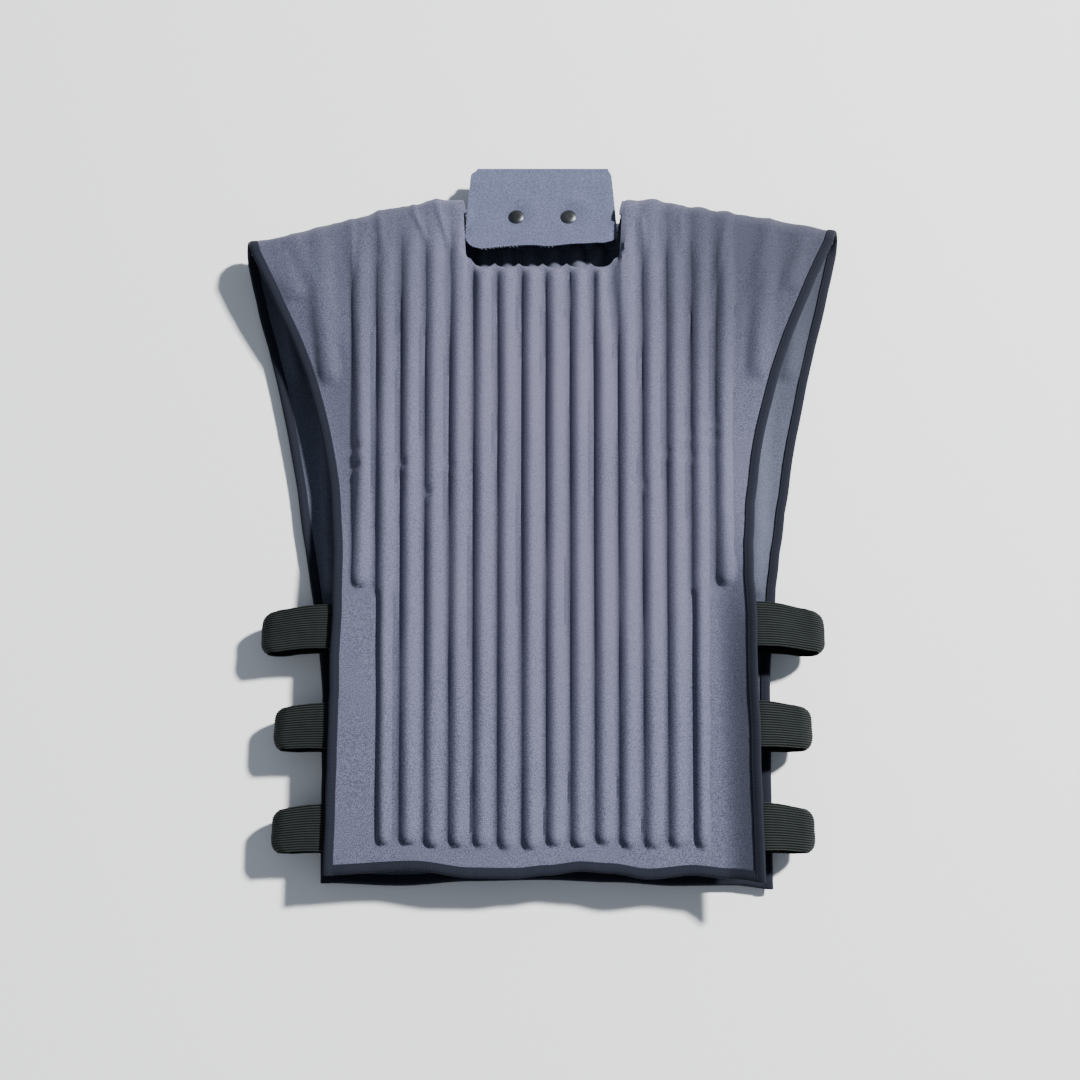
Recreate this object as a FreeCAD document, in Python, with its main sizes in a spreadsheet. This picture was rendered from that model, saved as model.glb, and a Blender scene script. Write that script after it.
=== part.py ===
"""Slip-over body protector, lying flat on its back, in millimetres.

Two channelled panels (front above, rear below) are joined by a fold of the same cloth over
each shoulder and by three elastic straps down each side. Every panel is two plies of
laminated cloth, joined between the channels, with one padding tube in each channel. A collar
stands up from the rear neckline, folds over and is held by two press snaps.

X is across the body, Y runs from the hem to the neck, Z is up from the floor. Heights along
the body are counted from the front hem and moved to the middle of the whole length at the end.
"""
import FreeCAD, Part
import math
import os

import Sketcher
from FreeCAD import Placement, Rotation, Vector

os.makedirs("parts", exist_ok=True)
doc = FreeCAD.newDocument("back_protector")

# ---------------------------------------------------------------- driving dimensions
SIZES = [
    ("hem_half_width", 180, "front panel, half its width at the hem"),
    ("front_tip_half_width", 264, "front panel, half its width at the shoulder tips"),
    ("front_armhole_base", 240, "height where the front armhole starts to open"),
    ("rear_hem_half_width", 192, "rear panel, half its width at the hem"),
    ("rear_side_half_width", 197, "rear panel, half its width at the armhole base"),
    ("rear_tip_half_width", 272, "rear panel, half its width at the shoulder tips"),
    ("rear_armhole_base", 160, "height where the rear armhole starts to open"),
    ("rear_hem_drop", 4, "how far the rear hem hangs below the front one"),
    ("body_length", 625, "from the front hem to the shoulder fold beside the neck"),
    ("shoulder_drop", 12.5, "fall of the shoulder line, in degrees"),
    ("neck_half_width", 72, "half the width of the neck opening"),
    ("front_neck_depth", 76, "fall of the front neckline below the neck point"),
    ("rear_neck_depth", 29, "fall of the rear neckline below the neck point"),
    ("neck_corner", 18, "radius of the neckline's corners"),
    ("ply", 1.2, "thickness of one ply of laminated cloth"),
    ("tape", 1.0, "thickness of the binding tape"),
    ("binding_width", 9, "width of the binding tape on each face"),
    ("tube_radius", 7.5, "outer radius of a channel"),
    ("core_clearance", 0.15, "play between a padding tube and its channel"),
    ("tube_end_margin", 8, "cloth left between the end of a channel and the front neckline"),
    ("seam_margin", 6, "cloth left between the end of a channel and the shoulder seam"),
    ("hem_pitch", 20.2, "distance between channels at the hem"),
    ("shoulder_pitch", 22.4, "distance between channels at the shoulder"),
    ("tube_foot", 22, "height where the long channels start"),
    ("side_tube_foot", 243, "height where the outermost channel starts"),
    ("wing_margin", 3, "cloth left between a shoulder channel and the armhole's tape"),
    ("floor_flat", 0.3, "how far the channels are pressed flat by the floor"),
    ("panel_spacing", 30.8, "distance between the middles of the two panels"),
    ("strap_width", 38, "width of the side elastics"),
    ("strap_thickness", 1.6, "thickness of the side elastics"),
    ("upper_strap_reach", 245, "outermost point of the upper side loops"),
    ("middle_strap_reach", 230, "outermost point of the middle side loops"),
    ("lower_strap_reach", 228, "outermost point of the lower side loops"),
    ("upper_strap_height", 210, "height of the upper loops' middle"),
    ("middle_strap_height", 124, "height of the middle loops' middle"),
    ("lower_strap_height", 39, "height of the lower loops' middle"),
    ("fit_gap", 0.3, "clearance between pieces of different bodies"),
    ("collar_rise", 64, "from the rear neckline to the collar's folded edge"),
    ("collar_lift", 13, "middle of the collar's fold above the rear panel's middle"),
    ("collar_slope", 7, "slope of the folded collar, in degrees"),
    ("collar_gap", 4.2, "distance between the middles of the two collar plies"),
    ("flap_length", 91, "length of the collar flap"),
    ("flap_clearance", 2, "gap between the flap and each side of the neck opening"),
    ("collar_taper", 5.5, "how much narrower each side of the collar is at its fold"),
    ("flap_corner", 19, "radius of the flap's free corners"),
    ("snap_half_pitch", 24.5, "half the distance between the two snaps"),
    ("snap_distance", 54, "distance of the snaps from the fold"),
    ("snap_diameter", 15, "diameter of a snap cap"),
    ("snap_height", 2.8, "height of a snap cap"),
    ("shank_diameter", 4, "diameter of the rivets through the cloth"),
    ("socket_diameter", 11, "diameter of the snap sockets under the flap"),
    ("stud_diameter", 4.6, "diameter of the stud that enters a socket"),
    ("snap_play", 0.3, "play around and above the stud in its socket"),
    ("disc_thickness", 0.8, "thickness of the snaps' flat flanges"),
]

sheet = doc.addObject("Spreadsheet::Sheet", "dims")
for row, (alias, number, note) in enumerate(SIZES, start=1):
    sheet.set("A%d" % row, note)
    sheet.set("B%d" % row, str(number))
    sheet.setAlias("B%d" % row, alias)
doc.recompute()


def size(alias):
    """A driving dimension, read back from the sheet."""
    return float(sheet.get(alias))


PLY = size("ply")
TAPE = size("tape")
REAR_MIDDLE = "(dims.tube_radius - dims.floor_flat)"
FRONT_MIDDLE = "(dims.tube_radius - dims.floor_flat + dims.panel_spacing)"
FOLD_MIDDLE = "(dims.tube_radius - dims.floor_flat + dims.panel_spacing / 2)"
MIDDLE_Z = {
    REAR_MIDDLE: size("tube_radius") - size("floor_flat"),
    FRONT_MIDDLE: size("tube_radius") - size("floor_flat") + size("panel_spacing"),
}
FRONT_NECK = size("body_length") - size("front_neck_depth")
REAR_NECK = size("body_length") - size("rear_neck_depth")
COLLAR_TOP = REAR_NECK + size("collar_rise")
MIDDLE_Y = (COLLAR_TOP - size("rear_hem_drop")) / 2
TILT = math.radians(size("collar_slope"))
DOWN_FLAP = Vector(0, -math.cos(TILT), math.sin(TILT))
FLAP_UP = Vector(0, math.sin(TILT), math.cos(TILT))
FOLD_POINT = Vector(0, COLLAR_TOP - size("collar_gap") / 2 - PLY / 2,
                    MIDDLE_Z[REAR_MIDDLE] + size("collar_lift"))
FOLD_RADIUS = size("panel_spacing") / 2
SLOPE = math.radians(size("shoulder_drop"))
NECK_RIM = 8  # cloth left between the neck opening and the start of the shoulder fold
NECK_END = size("neck_half_width") + NECK_RIM
NECK_POINT_X = NECK_END + 2 * NECK_RIM  # where the shoulder line reaches its full height
SEWN_ON = 12  # overlap by which the collar stand and the side elastics are sewn on


def on_flap(distance, lift):
    """A point at a distance from the collar's fold, and above or below the middle of its plies."""
    return FOLD_POINT + DOWN_FLAP * distance + FLAP_UP * lift


# the stand rises from the rear neckline just short of the snaps, and is sewn on below that
KNEE = size("snap_distance") + size("snap_diameter") * 0.6
KNEE_OUT = on_flap(KNEE + PLY, PLY / 2 - size("collar_gap") / 2)
KNEE_IN = on_flap(KNEE, -PLY / 2 - size("collar_gap") / 2)
COLLAR_ROOT = KNEE_OUT.y - SEWN_ON

made = []


def keep(obj, label):
    """Name a finished sub-part."""
    obj.Label = label
    made.append(obj)
    return obj


# ---------------------------------------------------------------- outlines
def seam_height(x):
    """Height of the seam where a panel meets the shoulder fold, at a distance x from the middle."""
    back = (FOLD_RADIUS + PLY) / math.cos(SLOPE)
    return size("body_length") - back - math.tan(SLOPE) * (abs(x) - NECK_POINT_X)


PANELS = {
    "front": {
        "hem": 0.0,
        "hem_x": size("hem_half_width"),
        "side_x": size("hem_half_width") + 1,
        "tip_x": size("front_tip_half_width"),
        "base": size("front_armhole_base"),
        "power": 2.0,
        "neck": FRONT_NECK,
        "tube_top": FRONT_NECK - size("tube_end_margin"),
        "middle": FRONT_MIDDLE,
    },
    "rear": {
        "hem": -size("rear_hem_drop"),
        "hem_x": size("rear_hem_half_width"),
        "side_x": size("rear_side_half_width"),
        "tip_x": size("rear_tip_half_width"),
        "base": size("rear_armhole_base"),
        "power": 1.4,
        "neck": REAR_NECK,
        "tube_top": COLLAR_ROOT - size("tube_end_margin") / 4,
        "middle": REAR_MIDDLE,
    },
}


def side_x(panel, height):
    """Half width of a panel: straight up to the armhole, then widening to the shoulder tip."""
    base = panel["base"]
    if height <= base:
        return panel["hem_x"] + (panel["side_x"] - panel["hem_x"]) * max(height, 0) / base
    along = (height - base) / (seam_height(panel["tip_x"]) - base)
    return panel["side_x"] + (panel["tip_x"] - panel["side_x"]) * along ** panel["power"]


def armhole_points(panel, inset, steps=6):
    """Points of the right armhole's edge, moved inwards by inset."""
    base = panel["base"]
    top = seam_height(panel["tip_x"])
    heights = [base + (top - base) * i / steps for i in range(steps + 1)]
    return [Vector(side_x(panel, y) - inset, y, 0) for y in heights]


def flipped(points):
    """The same points on the left side, in the opposite order."""
    return [Vector(-p.x, p.y, 0) for p in reversed(points)]


def curve(points):
    line = Part.BSplineCurve()
    line.interpolate(points)
    return line


def place_sketch(sketch, middle):
    sketch.setExpression(".Placement.Base.z", middle)
    sketch.Placement.Base.y = -MIDDLE_Y


def panel_sketch(name, panel, inset):
    """Whole outline of a panel: hem, sides, armholes, shoulder seams and neckline."""
    hem = panel["hem"] + inset
    arm = armhole_points(panel, inset)
    hem_corner = Vector(panel["hem_x"] - inset, hem, 0)
    neck_x = size("neck_half_width")
    corner = size("neck_corner")
    shoulder = Vector(neck_x, seam_height(neck_x), 0)
    side = Vector(neck_x, panel["neck"] + corner, 0)
    floor = Vector(neck_x - corner, panel["neck"], 0)
    bend = corner * (1 - math.sqrt(0.5))
    right_bend = Vector(neck_x - bend, panel["neck"] + bend, 0)
    if side.y > shoulder.y - 1:  # a shallow neckline keeps a short straight side
        low = min(corner, shoulder.y - 1 - panel["neck"])
        bend = low * (1 - math.sqrt(0.5))
        side = Vector(neck_x, panel["neck"] + low, 0)
        floor = Vector(neck_x - low, panel["neck"], 0)
        right_bend = Vector(neck_x - bend, panel["neck"] + bend, 0)
    left = {p: Vector(-q.x, q.y, 0) for p, q in
            (("corner", hem_corner), ("shoulder", shoulder), ("side", side),
             ("floor", floor), ("bend", right_bend))}
    arm_left = flipped(arm)
    sketch = doc.addObject("Sketcher::SketchObject", name)
    edges = [
        Part.LineSegment(left["corner"], hem_corner),
        Part.LineSegment(hem_corner, arm[0]),
        curve(arm),
        Part.LineSegment(arm[-1], shoulder),
        Part.LineSegment(shoulder, side),
        Part.Arc(side, right_bend, floor),
        Part.LineSegment(floor, left["floor"]),
        Part.Arc(left["floor"], left["bend"], left["side"]),
        Part.LineSegment(left["side"], left["shoulder"]),
        Part.LineSegment(left["shoulder"], arm_left[0]),
        curve(arm_left),
        Part.LineSegment(arm_left[-1], left["corner"]),
    ]
    sketch.addGeometry(edges, False)
    place_sketch(sketch, panel["middle"])
    return sketch


def strip_sketch(name, panel, points):
    """A closed strip of binding in plan, from a list of edges."""
    sketch = doc.addObject("Sketcher::SketchObject", name)
    sketch.addGeometry(points, False)
    place_sketch(sketch, panel["middle"])
    return sketch


def extrude(name, sketch, length, both=False, down=False):
    """A plate drawn by a sketch; its thickness is bound to the sheet."""
    plate = doc.addObject("Part::Extrusion", name)
    plate.Base = sketch
    plate.DirMode = "Normal"
    plate.Solid = True
    plate.Symmetric = both
    plate.Reversed = down
    plate.setExpression("LengthFwd", length)
    return plate


def combine(kind, name, first, second):
    """A Part boolean of two objects: Part::Cut or Part::Common."""
    result = doc.addObject(kind, name)
    result.Base = first
    result.Tool = second
    return result


# ---------------------------------------------------------------- channels and padding tubes
# how far the two shoulder channels reach down from the height of the shoulder tip
WING_FALL = {"front": (127, 44), "rear": (320, 116)}


def channel_x(slot, height):
    """Distance of a channel from the middle; the channels fan out towards the shoulders."""
    low, high = size("tube_foot"), size("body_length")
    share = (height - low) / (high - low)
    pitch = size("hem_pitch") + (size("shoulder_pitch") - size("hem_pitch")) * share
    return slot * pitch


def channel_ends(panel, index):
    """Lower and upper end of the channel, counted from the middle outwards."""
    slot = index + 0.5
    foot = size("side_tube_foot") if index == 7 else size("tube_foot")
    inner_edge = channel_x(slot, FRONT_NECK) - size("tube_radius")
    if inner_edge < size("neck_half_width") + TAPE:  # stops below the neckline
        top = panel["tube_top"]
    else:
        top = seam_height(channel_x(slot, REAR_NECK)) - size("seam_margin")
    return Vector(channel_x(slot, foot), foot, 0), Vector(channel_x(slot, top), top, 0)


def wing_ends(name):
    """The two short channels that fan out over each shoulder, inside the armhole's edge.

    Each starts where the armhole's edge leaves room for it, a margin in from the tape, and
    runs up to the seam a share of the way between the outermost long channel and the tip.
    """
    panel = PANELS[name]
    room = size("binding_width") + size("tube_radius") + size("wing_margin")
    top = seam_height(panel["tip_x"])
    ends = []
    for share, fall in zip((0.39, 0.7), WING_FALL[name]):
        foot = top - fall
        low = Vector(side_x(panel, foot) - room, foot, 0)
        start = channel_x(7.5, top)
        high_x = start + (panel["tip_x"] - start) * share
        ends.append((low, Vector(high_x, seam_height(high_x) - size("seam_margin"), 0)))
    return ends


def channels(name):
    """Ends of every channel of a panel: sixteen along the body, then the four wings."""
    panel = PANELS[name]
    right = [channel_ends(panel, i) for i in range(8)]
    main = [(Vector(-a.x, a.y, 0), Vector(-b.x, b.y, 0)) for a, b in reversed(right)] + right
    wings = wing_ends(name)
    wings = [(Vector(-a.x, a.y, 0), Vector(-b.x, b.y, 0)) for a, b in reversed(wings)] + wings
    return main, wings


def half_tube(low, high, radius, upwards):
    """Half of a round-ended tube, above or below the panel's middle plane."""
    along = (high - low).normalize()
    across = Vector(along.y, -along.x, 0) * radius
    near, far = low + along * radius, high - along * radius
    slant = (across + along * radius) * math.sqrt(0.5)
    slant_low = (across - along * radius) * math.sqrt(0.5)
    outline = Part.Wire([
        Part.Arc(low, near + slant_low, near + across).toShape(),
        Part.LineSegment(near + across, far + across).toShape(),
        Part.Arc(far + across, far + slant, high).toShape(),
        Part.LineSegment(high, low).toShape(),
    ])
    turn = -180 if upwards else 180
    return Part.Face(outline).revolve(low, along, turn)


def tube_bundle(label, name, radius, upwards):
    """All half tubes of one face of a panel, for the swell of its cloth or the hollow inside."""
    main, wings = channels(name)
    bundle = doc.addObject("Part::Feature", label)
    bundle.Shape = Part.makeCompound(
        [half_tube(low, high, radius, upwards) for low, high in main + wings])
    height = MIDDLE_Z[PANELS[name]["middle"]]
    bundle.Placement = Placement(Vector(0, -MIDDLE_Y, height), Rotation())
    return bundle


def ply_of(name, face, upwards):
    """One ply of a panel: flat between the channels and swollen over each of them."""
    label = "%s_%s_ply" % (name, face)
    outline = panel_sketch(label + "_outline", PANELS[name], TAPE)
    plate = extrude(label + "_plate", outline, "dims.ply", down=not upwards)
    radius = size("tube_radius")
    swell = tube_bundle(label + "_swell", name, radius, upwards)
    hollow = tube_bundle(label + "_hollow", name, radius - PLY, upwards)
    raised = doc.addObject("Part::MultiFuse", label + "_raised")
    raised.Shapes = [plate, swell]
    return combine("Part::Cut", label + "_cloth", raised, hollow)


def padding_tube(label, low, high, middle):
    """One padding tube: a round-ended rod turned about its own axis."""
    body = doc.addObject("PartDesign::Body", label)
    sketch = body.newObject("Sketcher::SketchObject", label + "_profile")
    plane = next(f for f in body.Origin.OriginFeatures if f.Role == "XY_Plane")
    sketch.AttachmentSupport = [(plane, "")]
    sketch.MapMode = "FlatFace"
    play = PLY + size("core_clearance")
    radius = size("tube_radius") - play
    length = (high - low).Length - 2 * play
    start, end = Vector(0, 0, 0), Vector(0, length, 0)
    bottom, top = Vector(0, radius, 0), Vector(0, length - radius, 0)
    right, up = Vector(1, 0, 0), Vector(0, 0, 1)
    quarter = math.pi / 2
    sketch.addGeometry([
        Part.LineSegment(end, start),
        Part.ArcOfCircle(Part.Circle(bottom, up, radius), -quarter, 0),
        Part.LineSegment(bottom + right * radius, top + right * radius),
        Part.ArcOfCircle(Part.Circle(top, up, radius), 0, quarter),
    ], False)
    sketch.addConstraint([
        Sketcher.Constraint("Coincident", 0, 2, -1, 1),
        Sketcher.Constraint("Vertical", 0),
        Sketcher.Constraint("Coincident", 0, 2, 1, 1),
        Sketcher.Constraint("Tangent", 1, 2, 2, 1),
        Sketcher.Constraint("Tangent", 2, 2, 3, 1),
        Sketcher.Constraint("Coincident", 3, 2, 0, 1),
        Sketcher.Constraint("PointOnObject", 1, 3, -2),
        Sketcher.Constraint("PointOnObject", 3, 3, -2),
        Sketcher.Constraint("Equal", 1, 3),
    ])
    rule = sketch.addConstraint(Sketcher.Constraint("Radius", 1, radius))
    sketch.addConstraint(Sketcher.Constraint("DistanceY", 0, 2, 0, 1, length))
    sketch.setExpression("Constraints[%d]" % rule,
                         "dims.tube_radius - dims.ply - dims.core_clearance")
    turn = body.newObject("PartDesign::Revolution", label + "_turned")
    turn.Profile = sketch
    turn.ReferenceAxis = (sketch, ["V_Axis"])
    turn.Angle = 360
    along = (high - low).normalize()
    base = low + along * play
    lean = Rotation(Vector(0, 1, 0), along)
    body.Placement = Placement(Vector(base.x, base.y - MIDDLE_Y, 0), lean)
    body.setExpression(".Placement.Base.z", middle)
    return body


def group(label, members):
    """Several loose solids kept as one sub-part."""
    bundle = doc.addObject("Part::Compound", label)
    bundle.Links = members
    return bundle


for panel_name in ("front", "rear"):
    middle_cell = PANELS[panel_name]["middle"]
    main_tubes, wing_tubes = channels(panel_name)
    upper = ply_of(panel_name, "outer" if panel_name == "front" else "inner", True)
    lower = ply_of(panel_name, "inner" if panel_name == "front" else "outer", False)
    if panel_name == "front":
        keep(upper, "front_outer_ply")
        keep(lower, "front_inner_ply")
    else:
        # the channels are pressed flat where they lie on the floor
        above_floor = doc.addObject("Part::Box", "above_floor")
        above_floor.Placement.Base = Vector(-400, -500, 0)
        above_floor.Length = 800
        above_floor.Width = 1000
        above_floor.Height = 60
        keep(upper, "rear_inner_ply")
        keep(combine("Part::Common", "rear_outer_cloth", lower, above_floor), "rear_outer_ply")
    for number, (foot_end, top_end) in enumerate(main_tubes, start=1):
        label = "%s_tube_core_%02d" % (panel_name, number)
        keep(padding_tube(label, foot_end, top_end, middle_cell), label)
    wings = [padding_tube("%s_wing_%d" % (panel_name, n), foot_end, top_end, middle_cell)
             for n, (foot_end, top_end) in enumerate(wing_tubes, start=1)]
    keep(group(panel_name + "_wings", wings), panel_name + "_wing_cores")


# ---------------------------------------------------------------- binding tape
def mirrored(source, name):
    """The same piece on the left side."""
    twin = doc.addObject("Part::Mirroring", name)
    twin.Source = source
    twin.Normal = Vector(1, 0, 0)
    return twin


def side_binding(name):
    """Tape folded over the right edge of a panel, from the hem to the shoulder tip."""
    panel = PANELS[name]
    width = size("binding_width")
    outer = armhole_points(panel, 0)
    inner = armhole_points(panel, width)
    low_outer = Vector(panel["hem_x"], panel["hem"], 0)
    low_inner = Vector(panel["hem_x"] - width, panel["hem"], 0)
    sketch = strip_sketch(name + "_side_strip", panel, [
        Part.LineSegment(low_inner, low_outer),
        Part.LineSegment(low_outer, outer[0]),
        curve(outer),
        Part.LineSegment(outer[-1], inner[-1]),
        curve(list(reversed(inner))),
        Part.LineSegment(inner[0], low_inner),
    ])
    return sketch


def hem_binding(name):
    """Tape folded over the hem, between the two side tapes."""
    panel = PANELS[name]
    width = size("binding_width")
    reach = panel["hem_x"] - width
    corners = [Vector(-reach, panel["hem"], 0), Vector(reach, panel["hem"], 0),
               Vector(reach, panel["hem"] + width, 0), Vector(-reach, panel["hem"] + width, 0)]
    edges = [Part.LineSegment(corners[i], corners[(i + 1) % 4]) for i in range(4)]
    return strip_sketch(name + "_hem_strip", panel, edges)


def wrap(label, sketch, panel):
    """Tape of a strip's outline, thick enough for both faces, with the cloth's slot cut out."""
    block = extrude(label + "_block", sketch, "2 * (dims.ply + dims.tape)", both=True)
    cloth_outline = panel_sketch(label + "_slot_outline", panel, TAPE)
    cloth = extrude(label + "_slot", cloth_outline, "2 * dims.ply", both=True)
    return combine("Part::Cut", label + "_tape", block, cloth)


for panel_name in ("front", "rear"):
    panel_data = PANELS[panel_name]
    right_tape = wrap(panel_name + "_side", side_binding(panel_name), panel_data)
    keep(mirrored(right_tape, panel_name + "_side_left"), panel_name + "_binding_left")
    keep(right_tape, panel_name + "_binding_right")
    hem_tape = wrap(panel_name + "_hem", hem_binding(panel_name), panel_data)
    keep(hem_tape, "hem_binding_" + panel_name)


# ---------------------------------------------------------------- shoulder folds
def half_ring(label, inner, outer, length):
    """A half pipe along X whose open side faces the hem; radii and length are expressions."""
    body = doc.addObject("PartDesign::Body", label)
    sketch = body.newObject("Sketcher::SketchObject", label + "_section")
    plane = next(f for f in body.Origin.OriginFeatures if f.Role == "YZ_Plane")
    sketch.AttachmentSupport = [(plane, "")]
    sketch.MapMode = "FlatFace"
    centre, up, quarter = Vector(0, 0, 0), Vector(0, 0, 1), math.pi / 2
    small, large = FOLD_RADIUS - PLY, FOLD_RADIUS + PLY
    sketch.addGeometry([
        Part.ArcOfCircle(Part.Circle(centre, up, large), -quarter, quarter),
        Part.LineSegment(Vector(0, large, 0), Vector(0, small, 0)),
        Part.ArcOfCircle(Part.Circle(centre, up, small), -quarter, quarter),
        Part.LineSegment(Vector(0, -small, 0), Vector(0, -large, 0)),
    ], False)
    sketch.addConstraint([
        Sketcher.Constraint("Coincident", 0, 3, -1, 1),
        Sketcher.Constraint("Coincident", 2, 3, -1, 1),
        Sketcher.Constraint("Coincident", 0, 2, 1, 1),
        Sketcher.Constraint("Coincident", 1, 2, 2, 2),
        Sketcher.Constraint("Coincident", 2, 1, 3, 1),
        Sketcher.Constraint("Coincident", 3, 2, 0, 1),
        Sketcher.Constraint("PointOnObject", 1, 1, -2),
        Sketcher.Constraint("PointOnObject", 1, 2, -2),
        Sketcher.Constraint("PointOnObject", 3, 1, -2),
        Sketcher.Constraint("PointOnObject", 3, 2, -2),
    ])
    first = sketch.addConstraint(Sketcher.Constraint("Radius", 0, large))
    second = sketch.addConstraint(Sketcher.Constraint("Radius", 2, small))
    sketch.setExpression("Constraints[%d]" % first, outer)
    sketch.setExpression("Constraints[%d]" % second, inner)
    pad = body.newObject("PartDesign::Pad", label + "_pad")
    pad.Profile = sketch
    pad.setExpression("Length", length)
    return body


TIP_END = (size("front_tip_half_width") + size("rear_tip_half_width")) / 2
FOLD_LENGTH = (TIP_END - NECK_END) / math.cos(SLOPE)
sheet.set("A%d" % (len(SIZES) + 1), "length of a shoulder fold along its line")
sheet.set("B%d" % (len(SIZES) + 1), "%.4f" % FOLD_LENGTH)
sheet.setAlias("B%d" % (len(SIZES) + 1), "shoulder_fold_length")
doc.recompute()

RING = "dims.panel_spacing / 2"
fold = half_ring("shoulder_fold", RING + " - dims.ply", RING + " + dims.ply",
                 "dims.shoulder_fold_length")
lean_right = Rotation(Vector(0, 0, 1), -size("shoulder_drop"))
neck_end = Vector(NECK_END, seam_height(NECK_END) + size("fit_gap") - MIDDLE_Y, 0)
fold.Placement = Placement(neck_end, lean_right)
fold.setExpression(".Placement.Base.z", FOLD_MIDDLE)
tip_tape = half_ring("shoulder_tape", RING + " - dims.ply - dims.tape",
                     RING + " + dims.ply + dims.tape", "dims.binding_width")
back_off = size("binding_width") - TAPE
along_fold = lean_right.multVec(Vector(FOLD_LENGTH - back_off, 0, 0))
tip_tape.Placement = Placement(neck_end + along_fold, lean_right)
tip_tape.setExpression(".Placement.Base.z", FOLD_MIDDLE)
tip_wrap = combine("Part::Cut", "shoulder_tape_wrap", tip_tape, fold)
keep(mirrored(fold, "shoulder_fold_twin"), "shoulder_fold_left")
keep(fold, "shoulder_fold_right")
keep(mirrored(tip_wrap, "shoulder_tape_twin"), "shoulder_binding_left")
keep(tip_wrap, "shoulder_binding_right")


# ---------------------------------------------------------------- side elastics
def side_strap(place):
    """One elastic loop: sewn under the front edge, round outside, and back onto the rear edge."""
    label = place + "_strap"
    reach, height = size(place + "_strap_reach"), size(place + "_strap_height")
    half = size("strap_thickness") / 2
    top = MIDDLE_Z[FRONT_MIDDLE] - PLY - TAPE - size("fit_gap") - half
    bottom = MIDDLE_Z[REAR_MIDDLE] + PLY + TAPE + half
    loop = (top - bottom) / 2
    front_end = side_x(PANELS["front"], height) - TAPE - SEWN_ON
    rear_end = side_x(PANELS["rear"], height) - TAPE - SEWN_ON
    bend_x = reach - half - loop
    level = (top + bottom) / 2
    body = doc.addObject("PartDesign::Body", label)
    sketch = body.newObject("Sketcher::SketchObject", label + "_profile")
    plane = next(f for f in body.Origin.OriginFeatures if f.Role == "XZ_Plane")
    sketch.AttachmentSupport = [(plane, "")]
    sketch.MapMode = "FlatFace"
    up, quarter, centre = Vector(0, 0, 1), math.pi / 2, Vector(bend_x, level, 0)
    wide, tight = loop + half, loop - half
    sketch.addGeometry([
        Part.LineSegment(Vector(front_end, level + wide, 0), Vector(bend_x, level + wide, 0)),
        Part.ArcOfCircle(Part.Circle(centre, up, wide), -quarter, quarter),
        Part.LineSegment(Vector(bend_x, level - wide, 0), Vector(rear_end, level - wide, 0)),
        Part.LineSegment(Vector(rear_end, level - wide, 0), Vector(rear_end, level - tight, 0)),
        Part.LineSegment(Vector(rear_end, level - tight, 0), Vector(bend_x, level - tight, 0)),
        Part.ArcOfCircle(Part.Circle(centre, up, tight), -quarter, quarter),
        Part.LineSegment(Vector(bend_x, level + tight, 0), Vector(front_end, level + tight, 0)),
        Part.LineSegment(Vector(front_end, level + tight, 0), Vector(front_end, level + wide, 0)),
    ], False)
    pad = body.newObject("PartDesign::Pad", label + "_pad")
    pad.Profile = sketch
    pad.SideType = "Symmetric"
    pad.setExpression("Length", "dims.strap_width")
    body.Placement.Base.y = height - MIDDLE_Y
    return body


for place in ("upper", "middle", "lower"):
    strap = side_strap(place)
    keep(mirrored(strap, place + "_strap_twin"), "side_strap_left_" + place)
    keep(strap, "side_strap_right_" + place)


# ---------------------------------------------------------------- collar
def profile_solid(label, edges, half_width):
    """A ply of the collar drawn from the side and made symmetric about the middle."""
    sketch = doc.addObject("Sketcher::SketchObject", label + "_profile")
    flat = []
    for edge in edges:
        points = [Vector(p.y, p.z, 0) for p in edge]
        flat.append(Part.LineSegment(*points) if len(points) == 2 else Part.Arc(*points))
    sketch.addGeometry(flat, False)
    sketch.Placement = Placement(Vector(0, -MIDDLE_Y, 0),
                                 Rotation(Vector(0, 1, 0), Vector(0, 0, 1), Vector(1, 0, 0)))
    return extrude(label + "_ply", sketch, half_width, both=True)


def plan_solid(label, half_low, half_high, low, high, corner):
    """Outline of the collar seen from above: wider at the free edge, which has round corners."""
    bend = corner * (1 - math.sqrt(0.5))
    sketch = doc.addObject("Sketcher::SketchObject", label + "_plan")
    right = [Vector(half_low - corner, low, 0), Vector(half_low - bend, low + bend, 0),
             Vector(half_low, low + corner, 0), Vector(half_high, high, 0)]
    left = [Vector(-p.x, p.y, 0) for p in right]
    sketch.addGeometry([
        Part.LineSegment(left[0], right[0]),
        Part.Arc(*right[:3]),
        Part.LineSegment(right[2], right[3]),
        Part.LineSegment(right[3], left[3]),
        Part.LineSegment(left[3], left[2]),
        Part.Arc(left[2], left[1], left[0]),
    ], False)
    sketch.Placement.Base.y = -MIDDLE_Y
    return extrude(label + "_block", sketch, FRONT_MIDDLE + " + dims.tube_radius")


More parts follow.
